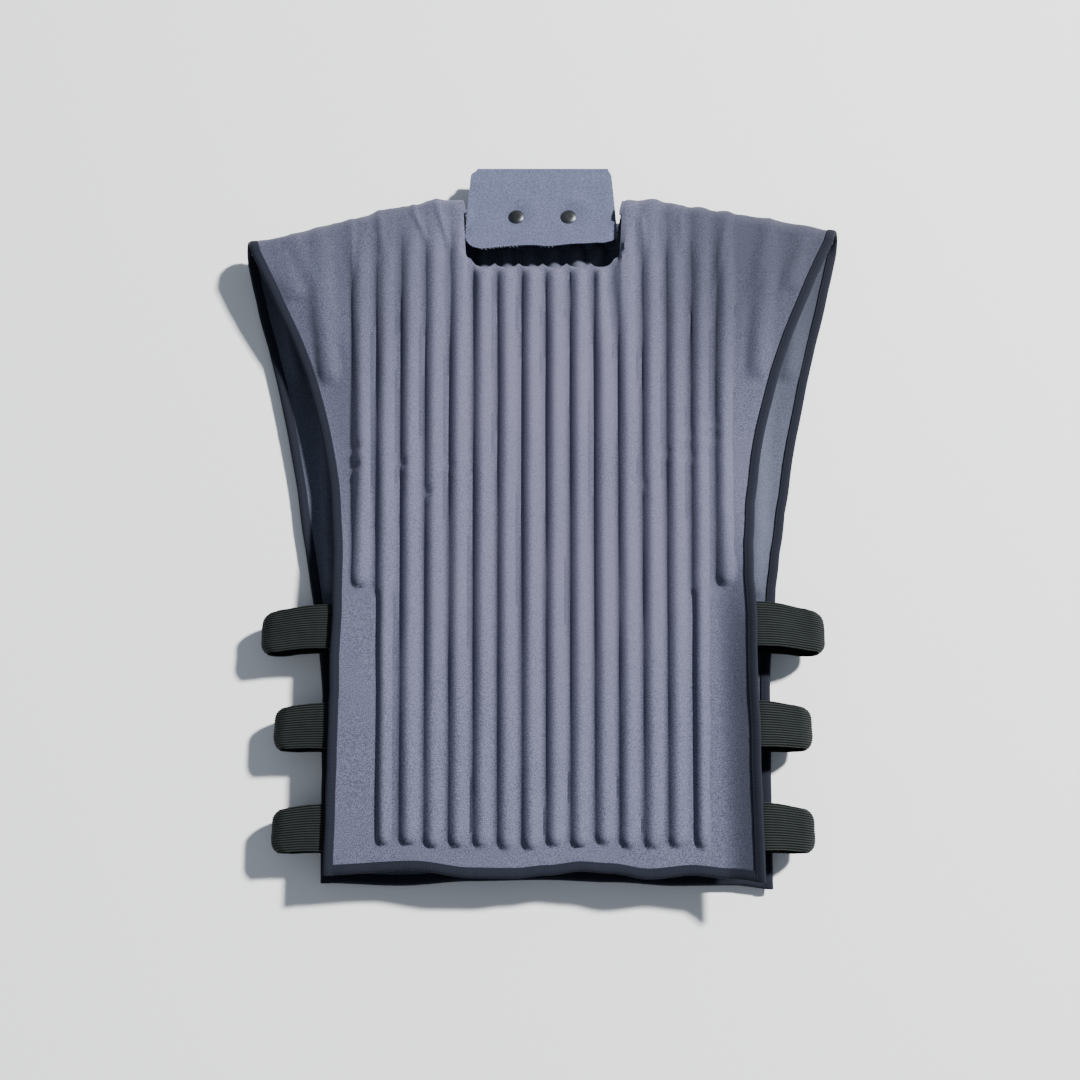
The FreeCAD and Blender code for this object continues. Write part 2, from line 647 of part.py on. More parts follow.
half_gap, half_ply = size("collar_gap") / 2, PLY / 2
seam_cut = half_ply + 0.1  # the flap's own cloth ends just short of the fold
root_low = MIDDLE_Z[REAR_MIDDLE] + PLY
root_top = root_low + PLY
stand_edges = [
    (Vector(0, COLLAR_ROOT, root_low), Vector(0, KNEE_IN.y, root_low)),
    (Vector(0, KNEE_IN.y, root_low), KNEE_IN),
    (KNEE_IN, on_flap(0, -half_ply - half_gap)),
    (on_flap(0, -half_ply - half_gap),
     FOLD_POINT - DOWN_FLAP * (half_gap + half_ply),
     on_flap(0, half_gap + half_ply)),
    (on_flap(0, half_gap + half_ply), on_flap(0, half_gap - half_ply)),
    (on_flap(0, half_gap - half_ply),
     FOLD_POINT - DOWN_FLAP * (half_gap - half_ply),
     on_flap(0, half_ply - half_gap)),
    (on_flap(0, half_ply - half_gap), KNEE_OUT),
    (KNEE_OUT, Vector(0, KNEE_OUT.y, root_top)),
    (Vector(0, KNEE_OUT.y, root_top), Vector(0, COLLAR_ROOT, root_top)),
    (Vector(0, COLLAR_ROOT, root_top), Vector(0, COLLAR_ROOT, root_low)),
]
flap_end = size("flap_length") - half_gap
flap_edges = [
    (on_flap(seam_cut, half_gap - half_ply), on_flap(flap_end, half_gap - half_ply)),
    (on_flap(flap_end, half_gap - half_ply), on_flap(flap_end, half_gap + half_ply)),
    (on_flap(flap_end, half_gap + half_ply), on_flap(seam_cut, half_gap + half_ply)),
    (on_flap(seam_cut, half_gap + half_ply), on_flap(seam_cut, half_gap - half_ply)),
]
WIDE = "2.2 * dims.neck_half_width"
stand_ply = profile_solid("stand", stand_edges, WIDE)
flap_ply = profile_solid("flap", flap_edges, WIDE)
top_y = COLLAR_TOP + 5
half_flap = size("neck_half_width") - size("flap_clearance")
half_fold = half_flap - size("collar_taper")
free_y = on_flap(flap_end, half_gap).y
stand_block = plan_solid("stand", half_fold + 2, half_fold, COLLAR_ROOT - 1, top_y, 4)
flap_block = plan_solid("flap", half_flap, half_fold, free_y, top_y, size("flap_corner"))
stand_cloth = combine("Part::Common", "stand_cloth", stand_ply, stand_block)
flap_cloth = combine("Part::Common", "flap_cloth", flap_ply, flap_block)


# ---------------------------------------------------------------- snaps
def turned(label, rings):
    """A round piece turned about the snap's axis; rings is its profile as (radius, height)."""
    body = doc.addObject("PartDesign::Body", label)
    sketch = body.newObject("Sketcher::SketchObject", label + "_profile")
    plane = next(f for f in body.Origin.OriginFeatures if f.Role == "XZ_Plane")
    sketch.AttachmentSupport = [(plane, "")]
    sketch.MapMode = "FlatFace"
    points = [Vector(radius, height, 0) for radius, height in rings]
    edges = []
    for i, point in enumerate(points):
        edges.append(Part.LineSegment(point, points[(i + 1) % len(points)]))
    sketch.addGeometry(edges, False)
    turn = body.newObject("PartDesign::Revolution", label + "_turned")
    turn.Profile = sketch
    turn.ReferenceAxis = (sketch, ["V_Axis"])
    turn.Angle = 360
    seat = on_flap(size("snap_distance"), -half_gap)
    body.Placement = Placement(
        Vector(0, seat.y - MIDDLE_Y, seat.z),
        Rotation(Vector(1, 0, 0), -size("collar_slope")))
    body.setExpression(".Placement.Base.x", "dims.snap_half_pitch")
    return body


def pair(label, right_piece):
    """Both snaps' copies of one piece."""
    return keep(group(label + "_pair", [mirrored(right_piece, label + "_twin"), right_piece]),
                label)


cap_r, shank_r = size("snap_diameter") / 2, size("shank_diameter") / 2
socket_r, stud_r = size("socket_diameter") / 2, size("stud_diameter") / 2
flange, play = size("disc_thickness"), size("snap_play")
flap_low, flap_high = size("collar_gap") - half_ply, size("collar_gap") + half_ply
cap_top = flap_high + size("snap_height")
rim = flap_high + flange
dome = [(cap_r * math.sin(math.radians(a)),
         rim + (cap_top - rim) * math.cos(math.radians(a)))
        for a in (90, 75, 60, 45, 30, 15, 0)]
cap = turned("snap_cap", [(0, flap_low), (shank_r, flap_low), (shank_r, flap_high),
                          (cap_r - flange / 2, flap_high), (cap_r, flap_high + flange / 2)] + dome)
socket_low = flap_low - 2 * flange
bore_r, bore_top = stud_r + play, flap_low - flange / 2
socket = turned("snap_socket", [(0, flap_low), (socket_r, flap_low), (socket_r, socket_low),
                                (bore_r, socket_low), (bore_r, bore_top), (0, bore_top)])
stud_top, stud_base = bore_top - play, half_ply + flange
stud = turned("snap_stud", [(0, half_ply), (socket_r, half_ply), (socket_r, stud_base),
                            (stud_r, stud_base), (stud_r, stud_top), (0, stud_top)])
post = turned("snap_post", [(0, half_ply), (shank_r, half_ply), (shank_r, -half_ply),
                            (socket_r, -half_ply), (socket_r, -half_ply - flange),
                            (0, -half_ply - flange)])
pair("snap_caps", cap)
pair("snap_sockets", socket)
pair("snap_studs", stud)
pair("snap_posts", post)

# the rivets pass through round holes in the two plies
through = 2 * PLY
shanks = turned("snap_shank", [(0, -through), (shank_r, -through), (shank_r, cap_top),
                               (0, cap_top)])
shank_pair = group("snap_shanks", [mirrored(shanks, "snap_shank_twin"), shanks])
keep(combine("Part::Cut", "stand_pierced", stand_cloth, shank_pair), "collar_stand")
keep(combine("Part::Cut", "flap_pierced", flap_cloth, shank_pair), "collar_flap")

# ---------------------------------------------------------------- check and write
doc.recompute()
broken = [o.Name for o in doc.Objects if set(o.State) & {"Invalid", "Error"}]
if broken:
    raise RuntimeError("objects that did not build: " + ", ".join(broken))
box = FreeCAD.BoundBox()
for part in made:
    shape = part.Shape
    if shape.isNull() or not shape.isValid() or shape.Volume <= 0:
        raise RuntimeError("bad shape: " + part.Label)
    box.add(shape.BoundBox)
    shape.exportStep("parts/%s.step" % part.Label)
print("%d sub-parts" % len(made))
print("whole part: X %.1f to %.1f, Y %.1f to %.1f, Z %.1f to %.1f"
      % (box.XMin, box.XMax, box.YMin, box.YMax, box.ZMin, box.ZMax))
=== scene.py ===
# %% [markdown]
# # A quilted back protector
# The real object is a soft vest: two panels of laminated cloth, each quilted into long channels
# with a foam tube in every channel, joined over the shoulders, with elastic loops at the sides
# and a collar flap on two snaps. The CAD model is loaded first as a fixed frame. Every new piece
# is then made at the place that this frame gives; the pieces of each panel, the snap caps and
# the fibres move with one of its bodies.

# %% Load the frame and keep its box
import math
import bpy
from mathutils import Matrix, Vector, noise


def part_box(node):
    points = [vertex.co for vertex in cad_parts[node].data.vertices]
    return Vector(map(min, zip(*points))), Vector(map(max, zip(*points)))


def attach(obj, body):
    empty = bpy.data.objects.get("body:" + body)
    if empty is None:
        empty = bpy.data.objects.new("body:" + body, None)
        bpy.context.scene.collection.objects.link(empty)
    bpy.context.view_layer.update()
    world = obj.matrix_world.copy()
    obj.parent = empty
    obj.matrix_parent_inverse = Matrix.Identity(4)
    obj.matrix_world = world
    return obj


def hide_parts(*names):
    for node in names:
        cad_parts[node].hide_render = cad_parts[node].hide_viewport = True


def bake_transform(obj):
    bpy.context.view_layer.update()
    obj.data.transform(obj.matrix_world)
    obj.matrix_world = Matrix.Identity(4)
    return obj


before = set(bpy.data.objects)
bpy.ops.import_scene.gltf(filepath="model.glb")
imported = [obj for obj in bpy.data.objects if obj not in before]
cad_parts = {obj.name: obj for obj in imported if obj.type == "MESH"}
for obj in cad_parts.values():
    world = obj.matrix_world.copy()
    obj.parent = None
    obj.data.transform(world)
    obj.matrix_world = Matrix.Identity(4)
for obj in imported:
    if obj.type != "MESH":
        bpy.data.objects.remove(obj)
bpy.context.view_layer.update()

# %% [markdown]
# ## Units and landmarks
# Cloth is cut in millimetres, measured upwards from the front hem, so the shapes below are
# written that way, and one helper turns such a point into metres in the frame. The levels of
# the panels come from the boxes of the CAD pieces, so a change there is followed here.

# %% Landmarks from the frame
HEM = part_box("hem_binding_front")[0][1] * 1000
FRONT_SEAM_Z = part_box("front_outer_ply")[0][2] * 1000
REAR_SEAM_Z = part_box("rear_inner_ply")[0][2] * 1000
SEAM_Z = {"front": FRONT_SEAM_Z, "rear": REAR_SEAM_Z}
RIDGE_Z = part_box("front_outer_ply")[1][2] * 1000
PLY = 1.2
LEAN = math.radians(12.5)
SHOULDER_FALL = math.tan(LEAN)
FOLD_CENTRE_Z = (FRONT_SEAM_Z + REAR_SEAM_Z) / 2
FOLD_OUTER = (FRONT_SEAM_Z - REAR_SEAM_Z) / 2 + PLY


def point(x, y, z):
    """A place in millimetres above the front hem, as metres in the frame."""
    return Vector((x, y + HEM, z)) / 1000


print("seams at", round(FRONT_SEAM_Z, 1), round(REAR_SEAM_Z, 1), "ridges up to", RIDGE_Z)

# %% [markdown]
# ## Small helpers
# `wander` is smooth noise from -1 to 1, the same on each run, for everything that cloth does
# unevenly. `ease` goes softly from 0 to 1 between two values.

# %% Noise and easing
def wander(a, b=0.0, c=0.0):
    """Smooth noise from about -1 to 1."""
    return 1.6 * noise.noise(Vector((a + 0.37, b + 0.71, c + 0.13)))


def ease(value, low, high):
    """0 below low, 1 above high, and a soft step between."""
    share = min(max((value - low) / (high - low), 0.0), 1.0)
    return share * share * (3 - 2 * share)


def between(value, stations):
    """A value read from a few given stations, with soft steps between them."""
    if value <= stations[0][0]:
        return stations[0][1]
    for (x0, y0), (x1, y1) in zip(stations, stations[1:]):
        if value <= x1:
            return y0 + (y1 - y0) * ease(value, x0, x1)
    return stations[-1][1]


# %% [markdown]
# ## The outline of the two panels
# Both panels are straight at the sides, then widen to the shoulder tips. The shoulder seam
# falls 12.5 degrees from the neck to the tips. The rear panel is a little wider, so it shows
# beside the front one in the armholes.

# %% Panel outlines
PANELS = {
    "front": dict(hem_x=180, side_x=181, tip_x=264, base=240, power=2.0, hem=0, neck=549),
    "rear": dict(hem_x=192, side_x=197, tip_x=272, base=160, power=1.4, hem=-4, neck=596),
}
NECK_HALF = 72
NECK_CORNER = 18
SEAM_TOP = 608
SEAM_TOP_X = 96
PITCH_AT_FOOT = 20.2
PITCH_GAIN = 2.2


def seam_y(x):
    """Height of the shoulder seam at a distance from the middle."""
    return SEAM_TOP - SHOULDER_FALL * (abs(x) - SEAM_TOP_X)


def edge_x(panel, y):
    """Half width of a panel at a height."""
    base, top = panel["base"], seam_y(panel["tip_x"])
    if y <= base:
        return panel["hem_x"] + (panel["side_x"] - panel["hem_x"]) * max(y, 0) / base
    share = min((y - base) / (top - base), 1.0)
    return panel["side_x"] + (panel["tip_x"] - panel["side_x"]) * share ** panel["power"]


def pitch(y):
    """Distance between two channels; they fan out a little towards the shoulders."""
    return PITCH_AT_FOOT + PITCH_GAIN * (y - 22) / 603


def neckline(panel, x, slot):
    """Height of the neckline: rounded corners, and small scallops where the channels end."""
    low = panel["neck"] - 1.2 + 3.4 * (1 - abs(math.sin(math.pi * slot))) ** 2
    over = abs(x) - (NECK_HALF - NECK_CORNER)
    if over > 0:
        low += NECK_CORNER - math.sqrt(max(NECK_CORNER ** 2 - over ** 2, 0.0))
    return low


for name, panel in PANELS.items():
    print(name, "half width at 400 mm", round(edge_x(panel, 400), 1))

# %% [markdown]
# ## How a channel stands up
# The two cloths of a panel are bonded flat to each other between the tubes, and each tube lifts
# them into a smooth round ridge. So a ridge is as wide as its tube, with a flat valley beside
# it. It starts in a rounded foot and fades out softly towards the shoulders. Where the vest
# was folded, some tubes have a small kink on one side.

# %% Sizes of the ridges
FULLNESS = RIDGE_Z - FRONT_SEAM_Z - PLY
RIDGE_HALF = 8.0
FOOT = 22
SIDE_FOOT = 243
KINKS = [
    (-164.7, 373, 0.7), (-163.2, 354, 0.8), (-122.4, 356, 0.9), (-99.7, 328, 0.9),
    (-79.8, 353, 0.4), (154.7, 395, 0.8), (154.2, 379, 0.7), (132.1, 384, 0.8),
    (133.2, 362, 0.8), (111.1, 366, 0.8), (90.0, 336, 0.9),
]
WING_FALL = {"front": (127, 44), "rear": (320, 116)}


def wing_lines(name):
    """Foot and top of the two short channels over each shoulder."""
    panel = PANELS[name]
    high = seam_y(panel["tip_x"])
    start = 7.5 * pitch(high)
    lines = []
    for share, fall in zip((0.39, 0.7), WING_FALL[name]):
        top_x = start + (panel["tip_x"] - start) * share
        foot = (edge_x(panel, high - fall) - 19.5, high - fall)
        lines.append((foot, (top_x, seam_y(top_x) - 6)))
    return lines


WINGS = {name: wing_lines(name) for name in PANELS}
print("short channels of the front panel", WINGS["front"])


# %% Where a channel is, and its shape
def slot_at(x, y):
    """Position across the channels; a whole number is the middle of a valley."""
    slot = x / pitch(y)
    slot += 0.022 * wander(y / 120, round(slot - 0.5) * 3.1)
    slot += 0.20 * math.exp(-((slot - 2.8) / 0.5) ** 2) * ease(y, 465, 545)
    return slot


def end_round(distance, reach):
    """Rounded end of a ridge: 0 at the end itself, 1 beyond its reach."""
    share = min(max(distance / reach, 0.0), 1.0)
    return math.sqrt(max(1 - (1 - share) ** 2, 0.0))


def ridge(across):
    """Height of a ridge at a distance from its middle; 1 is the edge of its tube."""
    inside = max(1 - across * across, 0.0)
    return 0.55 * math.sqrt(inside) + 0.45 * inside * inside if inside > 0 else 0.0


def kinked(x, y, front):
    """How much of a ridge is left where its tube is kinked."""
    left = 1.0
    for kink_x, kink_y, depth in KINKS if front else ():
        if abs(x - kink_x) < 11 and abs(y - kink_y) < 20:
            slant = (y - kink_y) + 0.3 * (x - kink_x)
            one_side = ease(kink_x + 4.5 - x, 0, 7)
            left *= 1 - depth * math.exp(-(slant / 2.4) ** 2) * one_side
            left *= 1 + 0.12 * depth * math.exp(-((slant + 7) / 3.5) ** 2)
    return left


def wing_relief(name, x, y):
    """The two short channels over each shoulder, softer than the long ones."""
    height = 0.0
    for (foot_x, foot_y), (top_x, top_y) in WINGS[name]:
        share = (y - foot_y) / (top_y - foot_y)
        middle = foot_x + (top_x - foot_x) * min(max(share, 0), 1)
        across = (abs(x) - middle) / 10.5
        if abs(across) < 1 and y > foot_y - 6:
            height = max(height, ridge(across) * end_round(y - foot_y + 6, 16))
    return height


SOFT_FOLDS = [
    (-247, 556, -222, 505, 2.6, 7), (-226, 584, -196, 500, 2.2, 7), (-205, 590, -183, 470, 2.4, 6),
    (-176, 596, -170, 520, 1.8, 6), (-150, 600, -144, 545, 2.0, 6), (-120, 606, -104, 566, 2.2, 5),
    (-98, 610, -84, 560, 2.0, 5), (92, 600, 96, 540, 1.8, 6), (128, 600, 126, 548, 1.8, 6),
    (168, 592, 158, 520, 2.2, 7), (206, 584, 184, 500, 2.4, 7), (238, 572, 206, 498, 2.4, 7),
]


def soft_folds(x, y):
    """Soft slanting folds of the worn cloth over the shoulders, from their tops to their ends."""
    height = 0.0
    for top_x, top_y, end_x, end_y, rise, half in SOFT_FOLDS:
        share = (top_y - y) / (top_y - end_y)
        if -0.2 < share < 1.1:
            across = (x - top_x - (end_x - top_x) * share) / half
            if abs(across) < 1.6:
                fade = ease(share, -0.2, 0.15) * (1 - ease(share, 0.45, 1.1))
                height = max(height, rise * fade * math.exp(-(1.5 * across) ** 2))
    return height


# %% The relief of a panel
def shoulder_left(name, x, y):
    """How much of a ridge is left as it nears the shoulder seam."""
    below = seam_y(x) - y
    rest = 0.30 if x > 0 else 0.14
    if name == "rear":
        return rest + (1 - rest) * ease(below, 2, 26)
    full = rest + (1 - rest) * ease(below, 4, 60)
    return full * (1 - 0.25 * ease(y, 430, 560))


def channel_x(slot, y):
    """Where a channel's middle really lies at a height, with its sway."""
    x = slot * pitch(y)
    for _ in range(4):
        x -= (slot_at(x, y) - slot) * pitch(y)
    return x


def relief(name, x, y):
    """How far the cloth stands off the bonded level in millimetres, and its crease value."""
    panel = PANELS[name]
    slot = slot_at(x, y)
    index = math.floor(slot)
    number = index if index >= 0 else -index - 1
    half = RIDGE_HALF
    if number == 6:
        half -= 1.5 * (1 - ease(y, SIDE_FOOT - 8, SIDE_FOOT))
    across = (slot - index - 0.5) * pitch(y) / half
    edge = edge_x(panel, y) - abs(x)
    height = 0.0
    if number <= 7 and abs(across) < 1:
        foot = SIDE_FOOT if number == 7 else FOOT
        foot += 2.5 * wander(number * 5.3, 2 if slot > 0 else 6)
        height = ridge(across)
        away = y - foot - RIDGE_HALF * (1 - math.sqrt(max(1 - across * across, 0)))
        height *= end_round(away, 9) if away > 0 else 0.0
        if abs(x) < NECK_HALF + 2:
            height *= end_round(neckline(panel, x, slot) - 1.5 - y, 12)
        else:
            height *= shoulder_left(name, x, y)
        height *= 1 + 0.06 * wander(number * 7.7, y / 90, index)
        height *= kinked(x, y, name == "front")
    if abs(slot) > 7.9:
        wing = 0.85 * wing_relief(name, x, y) * shoulder_left(name, x, y)
        height = max(height, wing)
    height *= ease(edge, 9, 14)
    lift = FULLNESS * height
    upper = ease(y, 380, 520) * ease(edge, 10, 30) * ease(seam_y(x) - y, 0, 12)
    lift += max(0.9 * wander(x / 30, y / 60, 6) * upper, -lift)
    if name == "front" and y > 450:
        lift = max(lift, soft_folds(x, y) * ease(edge, 8, 16) + 0.5 * lift)
    lift += 0.22 * wander(x / 17, y / 45) * ease(lift, 0.5, 4)
    # The crease value is high in the valleys between ridges; it darkens the cloth there as painted
    # shade.
    last = 7 if y < SIDE_FOOT else 8
    crease = (1 - ease(height, 0.0, 0.35)) * (1 - ease(abs(slot), last - 0.2, last))
    crease *= ease(y, FOOT - 6, FOOT + 16) * ease(seam_y(x) - y, 20, 90)
    crease *= ease(panel["neck"] - y, 0, 20) if abs(x) < NECK_HALF else 1
    return max(lift, 0.0), crease


print("relief on a ridge and in a valley:", relief("front", 10.6, 300), relief("front", 0, 300))

# %% [markdown]
# ## How the whole vest lies
# No hem is straight once a soft vest has been worn and laid down. The hem of each panel rises
# and falls by a few millimetres, the side edges wander, and the cloth lies on gentle waves.
# Panels and their tapes use the same function, so they stay together.

# %% Lie of the cloth
HEM_WAVE = {
    "front": [(-182, 0.5), (-107, 4.2), (-58, -1.8), (-24, -2.2), (4, 0.4), (31, 3.6),
              (55, 2.0), (87, -2.8), (123, 0.4), (154, -2.6), (182, -6.0)],
    "rear": [(-192, 0.0), (-120, -2.2), (-60, 1.5), (0, 2.5), (60, 0.5), (110, -2.4),
             (160, -2.0), (192, -5.0)],
}


def laid(x, y):
    """The whole vest's place on the floor: the left tip has slid down, the right one out."""
    tip = ease(abs(x), 90, 262) * ease(y, 380, 560)
    collapse = (1 - ease(abs(x), 74, 104)) * ease(y, 556, 606)
    if x < 0:
        return x - 5.0 * tip, y - 8.0 * tip - 7.0 * collapse
    return x + 5.0 * tip, y + 3.5 * tip - 8.0 * collapse


def edge_rise(x, y):
    """The right edge of the front panel stands up a little on its elastics."""
    if x < 0:
        return 0.0
    return 12.0 * ease(x, 149, 186) * (1 - ease(y, 215, 330))


def edge_fall(name, x, y):
    """The left armhole edge of the front panel sags between the shoulder and the elastics."""
    if name == "rear" or x > 0:
        return 0.0
    inner = 1 - abs(x) / edge_x(PANELS["front"], y)
    return -10.0 * (1 - ease(inner, 0.0, 0.26)) * ease(y, 250, 350) * (1 - ease(y, 440, 560))


def lie(name, x, y, z):
    """The point of a panel as it really lies."""
    panel = PANELS[name]
    side = (abs(x) / edge_x(panel, y)) ** 4
    low = 1 - ease(y - panel["hem"], 0, 42)
    sway = 1.3 * wander(y / 52, 5 if x > 0 else 9) * (1 - ease(y, 520, 570))
    x += math.copysign(side * sway, x)
    y += between(x, HEM_WAVE[name]) * low
    if name == "rear" and x < 0:
        x += 6.0 * side * (1 - ease(y, 150, 300))
    wave = 0.8 * wander(x / 95, y / 110, 2) * (1 - ease(y, 500, 560))
    if name == "rear":
        wave = 0.5 * max(wave, 0)
    else:
        wave += edge_rise(x, y) + edge_fall(name, x, y)
    x, y = laid(x, y)
    return point(x, y, z + wave)


print("a hem corner lies at", [round(c, 4) for c in lie("front", 180, 0, FRONT_SEAM_Z)])

# %% [markdown]
# ## A way to make every cloth piece
# A cloth piece starts as Blender's flat grid. Each vertex is then moved to where the cloth
# lies, doubles are merged, and a Solidify modifier gives the cloth its thickness. The grid's
# own UV map is scaled to metres of cloth, for the patterns that run along a tape or a band.

# %% Helpers for pieces
MERGE = 0.00002


def deselect():
    if bpy.context.object and bpy.context.object.mode != "OBJECT":
        bpy.ops.object.mode_set(mode="OBJECT")
    bpy.ops.object.select_all(action="DESELECT")


def apply_modifiers(piece):
    deselect()
    piece.select_set(True)
    bpy.context.view_layer.objects.active = piece
    for modifier in list(piece.modifiers):
        bpy.ops.object.modifier_apply(modifier=modifier.name)


def cloth_grid(name, across, along, place, size=(1, 1), flip=False):
    """A grid laid by place(i, j), which gives a position and a crease value per vertex."""
    deselect()
    bpy.ops.mesh.primitive_grid_add(x_subdivisions=across, y_subdivisions=along, size=1)
    piece = bpy.context.object
    piece.name = name
    mesh = piece.data
    crease = mesh.attributes.new("crease", "FLOAT", "POINT")
    for vertex in mesh.vertices:
        i = round((vertex.co.x + 0.5) * across)
        j = round((vertex.co.y + 0.5) * along)
        vertex.co, crease.data[vertex.index].value = place(i, j)
    for loop in mesh.uv_layers.active.data:
        loop.uv = (loop.uv[0] * size[0], loop.uv[1] * size[1])
    bpy.ops.object.mode_set(mode="EDIT")
    bpy.ops.mesh.select_all(action="SELECT")
    bpy.ops.mesh.remove_doubles(threshold=MERGE)
    bpy.ops.mesh.dissolve_degenerate(threshold=MERGE / 4)
    if flip:
        bpy.ops.mesh.flip_normals()
    bpy.ops.object.mode_set(mode="OBJECT")
    bpy.ops.object.shade_smooth()
    return piece


def thicken(piece, thickness, offset=-1):
    """Gives a cloth its thickness, on its inner side unless offset says otherwise."""
    solid = piece.modifiers.new("thickness", "SOLIDIFY")
    solid.thickness = thickness / 1000
    solid.offset = offset
    solid.use_even_offset = False
    apply_modifiers(piece)
    bpy.ops.object.shade_smooth_by_angle(angle=math.radians(55))
    return piece


# %% [markdown]
# ## The four cloths of the two panels
# The grid of a panel has its columns along the channels, closer together at the seams, so that
# every ridge is round and every seam is crisp. Rows above the neckline or the shoulder seam
# are pulled back onto it, where they merge. The outer cloth of each panel puffs outwards and
# the inner cloth inwards.

# %% Rows and columns of a panel
FINE = [0, 0.13, 0.17, 0.22, 0.30, 0.40, 0.5, 0.60, 0.70, 0.78, 0.83, 0.87]
COARSE = [0, 0.14, 0.20, 0.34, 0.5, 0.66, 0.80, 0.86]


def panel_columns(stops, margin):
    """Columns from -9 to 9: channels up to 8, then the margin to the edge."""
    columns = [-9 + k / margin for k in range(margin)]
    columns += [k + stop for k in range(-8, 8) for stop in stops]
    return columns + [8 + k / margin for k in range(margin + 1)]


def panel_rows(panel, step):
    """Heights of the rows, closer together at the feet of the channels."""
    rows = [panel["hem"] + k * 3.0 for k in range(5)]
    for limit, gap in ((42, step * 0.5), (232, step), (262, step * 0.6), (505, step),
                       (seam_y(NECK_HALF) + 4, step * 0.6)):
        while rows[-1] < limit:
            rows.append(rows[-1] + gap)
    return rows


def column_place(panel, column, wanted):
    """A point of a column, pulled back onto the neckline or the shoulder seam."""
    y = wanted
    for _ in range(8):
        if abs(column) <= 8:
            x = column * pitch(y)
        else:
            start = 8 * pitch(y)
            x = math.copysign(start + (abs(column) - 8) * (edge_x(panel, y) - start), column)
        y = min(wanted, seam_y(x))
    if abs(column * pitch(panel["neck"] + 12)) < NECK_HALF:
        for _ in range(6):
            y = min(wanted, neckline(panel, column * pitch(y), column))
        x = column * pitch(y)
    return x, y


# %% Make the panel cloths
LOWEST = 0.0003


def panel_cloth(name, side, stops, margin, step):
    """One of the two cloths of a panel: 'front' or 'rear', 'outer' or 'inner'."""
    panel = PANELS[name]
    columns = panel_columns(stops, margin)
    rows = panel_rows(panel, step)
    up = 1 if (name == "front") == (side == "outer") else -1

    def place(i, j):
        x, y = column_place(panel, columns[i], rows[j])
        lift, crease = relief(name, x, y)
        z = SEAM_Z[name] + up * (PLY + lift)
        spot = lie(name, x, y, z)
        spot.z = max(spot.z, LOWEST)
        return spot, crease

    piece = cloth_grid(name + "_" + side + "_cloth", len(columns) - 1, len(rows) - 1, place,
                       flip=up < 0)
    print(piece.name, len(piece.data.polygons), "faces before its thickness")
    return piece


front_outer = panel_cloth("front", "outer", FINE, 16, 4.2)
front_inner = panel_cloth("front", "inner", COARSE, 10, 5.0)
rear_inner = panel_cloth("rear", "inner", COARSE, 12, 4.0)
rear_outer = panel_cloth("rear", "outer", COARSE, 10, 5.0)
for piece in (front_outer, front_inner, rear_inner, rear_outer):
    thicken(piece, PLY)

# %% [markdown]
# ## Padding tubes
# Inside every channel lies a foam tube. The tubes are hidden by the cloth, but the vest is
# built with them, so each one is a real closed tube here too: a grid rolled up round the
# channel's line, drawn in at both ends and dented where the channel is kinked.

# %% Helpers that join pieces and roll a tube
def join(name, parts):
    """Several pieces as one object."""
    deselect()
    for part in parts:
        part.select_set(True)
    bpy.context.view_layer.objects.active = parts[0]
    if len(parts) > 1:
        bpy.ops.object.join()
    parts[0].name = name
    return parts[0]


def padding_tube(name, low, high, radius=5.0, slot=None, around=12, along=48):
    """One tube between two points of a panel, or along a channel between their heights."""
    length = high[1] - low[1]

    def place(i, j):
        share = j / along
        y = low[1] + length * share
        x = low[0] + (high[0] - low[0]) * share if slot is None else channel_x(slot, y)
        ends = end_round(share * length, 7) * end_round((1 - share) * length, 7)
        thick = radius * ends * min(kinked(x, y, name == "front"), 1) ** 0.5
        thick *= shoulder_left(name, x, y) if abs(x) > NECK_HALF else 1
        turn = 2 * math.pi * i / around
        z = SEAM_Z[name] + thick * math.sin(turn)
        return lie(name, x - thick * math.cos(turn), y, max(z, 1.6)), 0.0

    return cloth_grid(name + "_tube", around, along, place)


# %% Make the padding of both panels
def padding(name):
    """All tubes of a panel as one piece."""
    tubes = []
    for slot in [k + 0.5 for k in range(-8, 8)]:
        foot = (SIDE_FOOT if abs(slot) > 7 else FOOT) + 3
        if abs(slot) < 4:
            top = PANELS[name]["neck"] - 12 if name == "front" else 568
        else:
            top = seam_y(slot * pitch(580)) - 10
        tubes.append(padding_tube(name, (0, foot), (0, top), slot=slot))
    for (foot_x, foot_y), (top_x, top_y) in WINGS[name]:
        for side in (-1, 1):
            tubes.append(padding_tube(name, (side * foot_x, foot_y + 4),
                                      (side * top_x, top_y - 8), 4.2))
    return join(name + "_padding", tubes)


front_padding = padding("front")
rear_padding = padding("rear")
print("padding", len(front_padding.data.polygons), len(rear_padding.data.polygons))

# %% [markdown]
# ## Shoulder folds
# Over each shoulder the cloth of the front panel runs on round a soft half pipe and becomes
# the rear panel. The fold's columns are the panel's own columns, so the ridges pass over the
# shoulder and fade out on its crown.

# %% Make the shoulder folds
def fold_point(side, x, turn, radius, inset=0.0):
    """A point on the half pipe: turn is 0 at the front seam and pi at the rear seam."""
    reach = radius * math.sin(turn)
    along_x = abs(x) - inset * math.cos(LEAN) + reach * math.sin(LEAN)
    y = seam_y(abs(x)) + inset * math.sin(LEAN) + reach * math.cos(LEAN)
    along_x, y = laid(side * along_x, y)
    return point(along_x, y, FOLD_CENTRE_Z + radius * math.cos(turn))


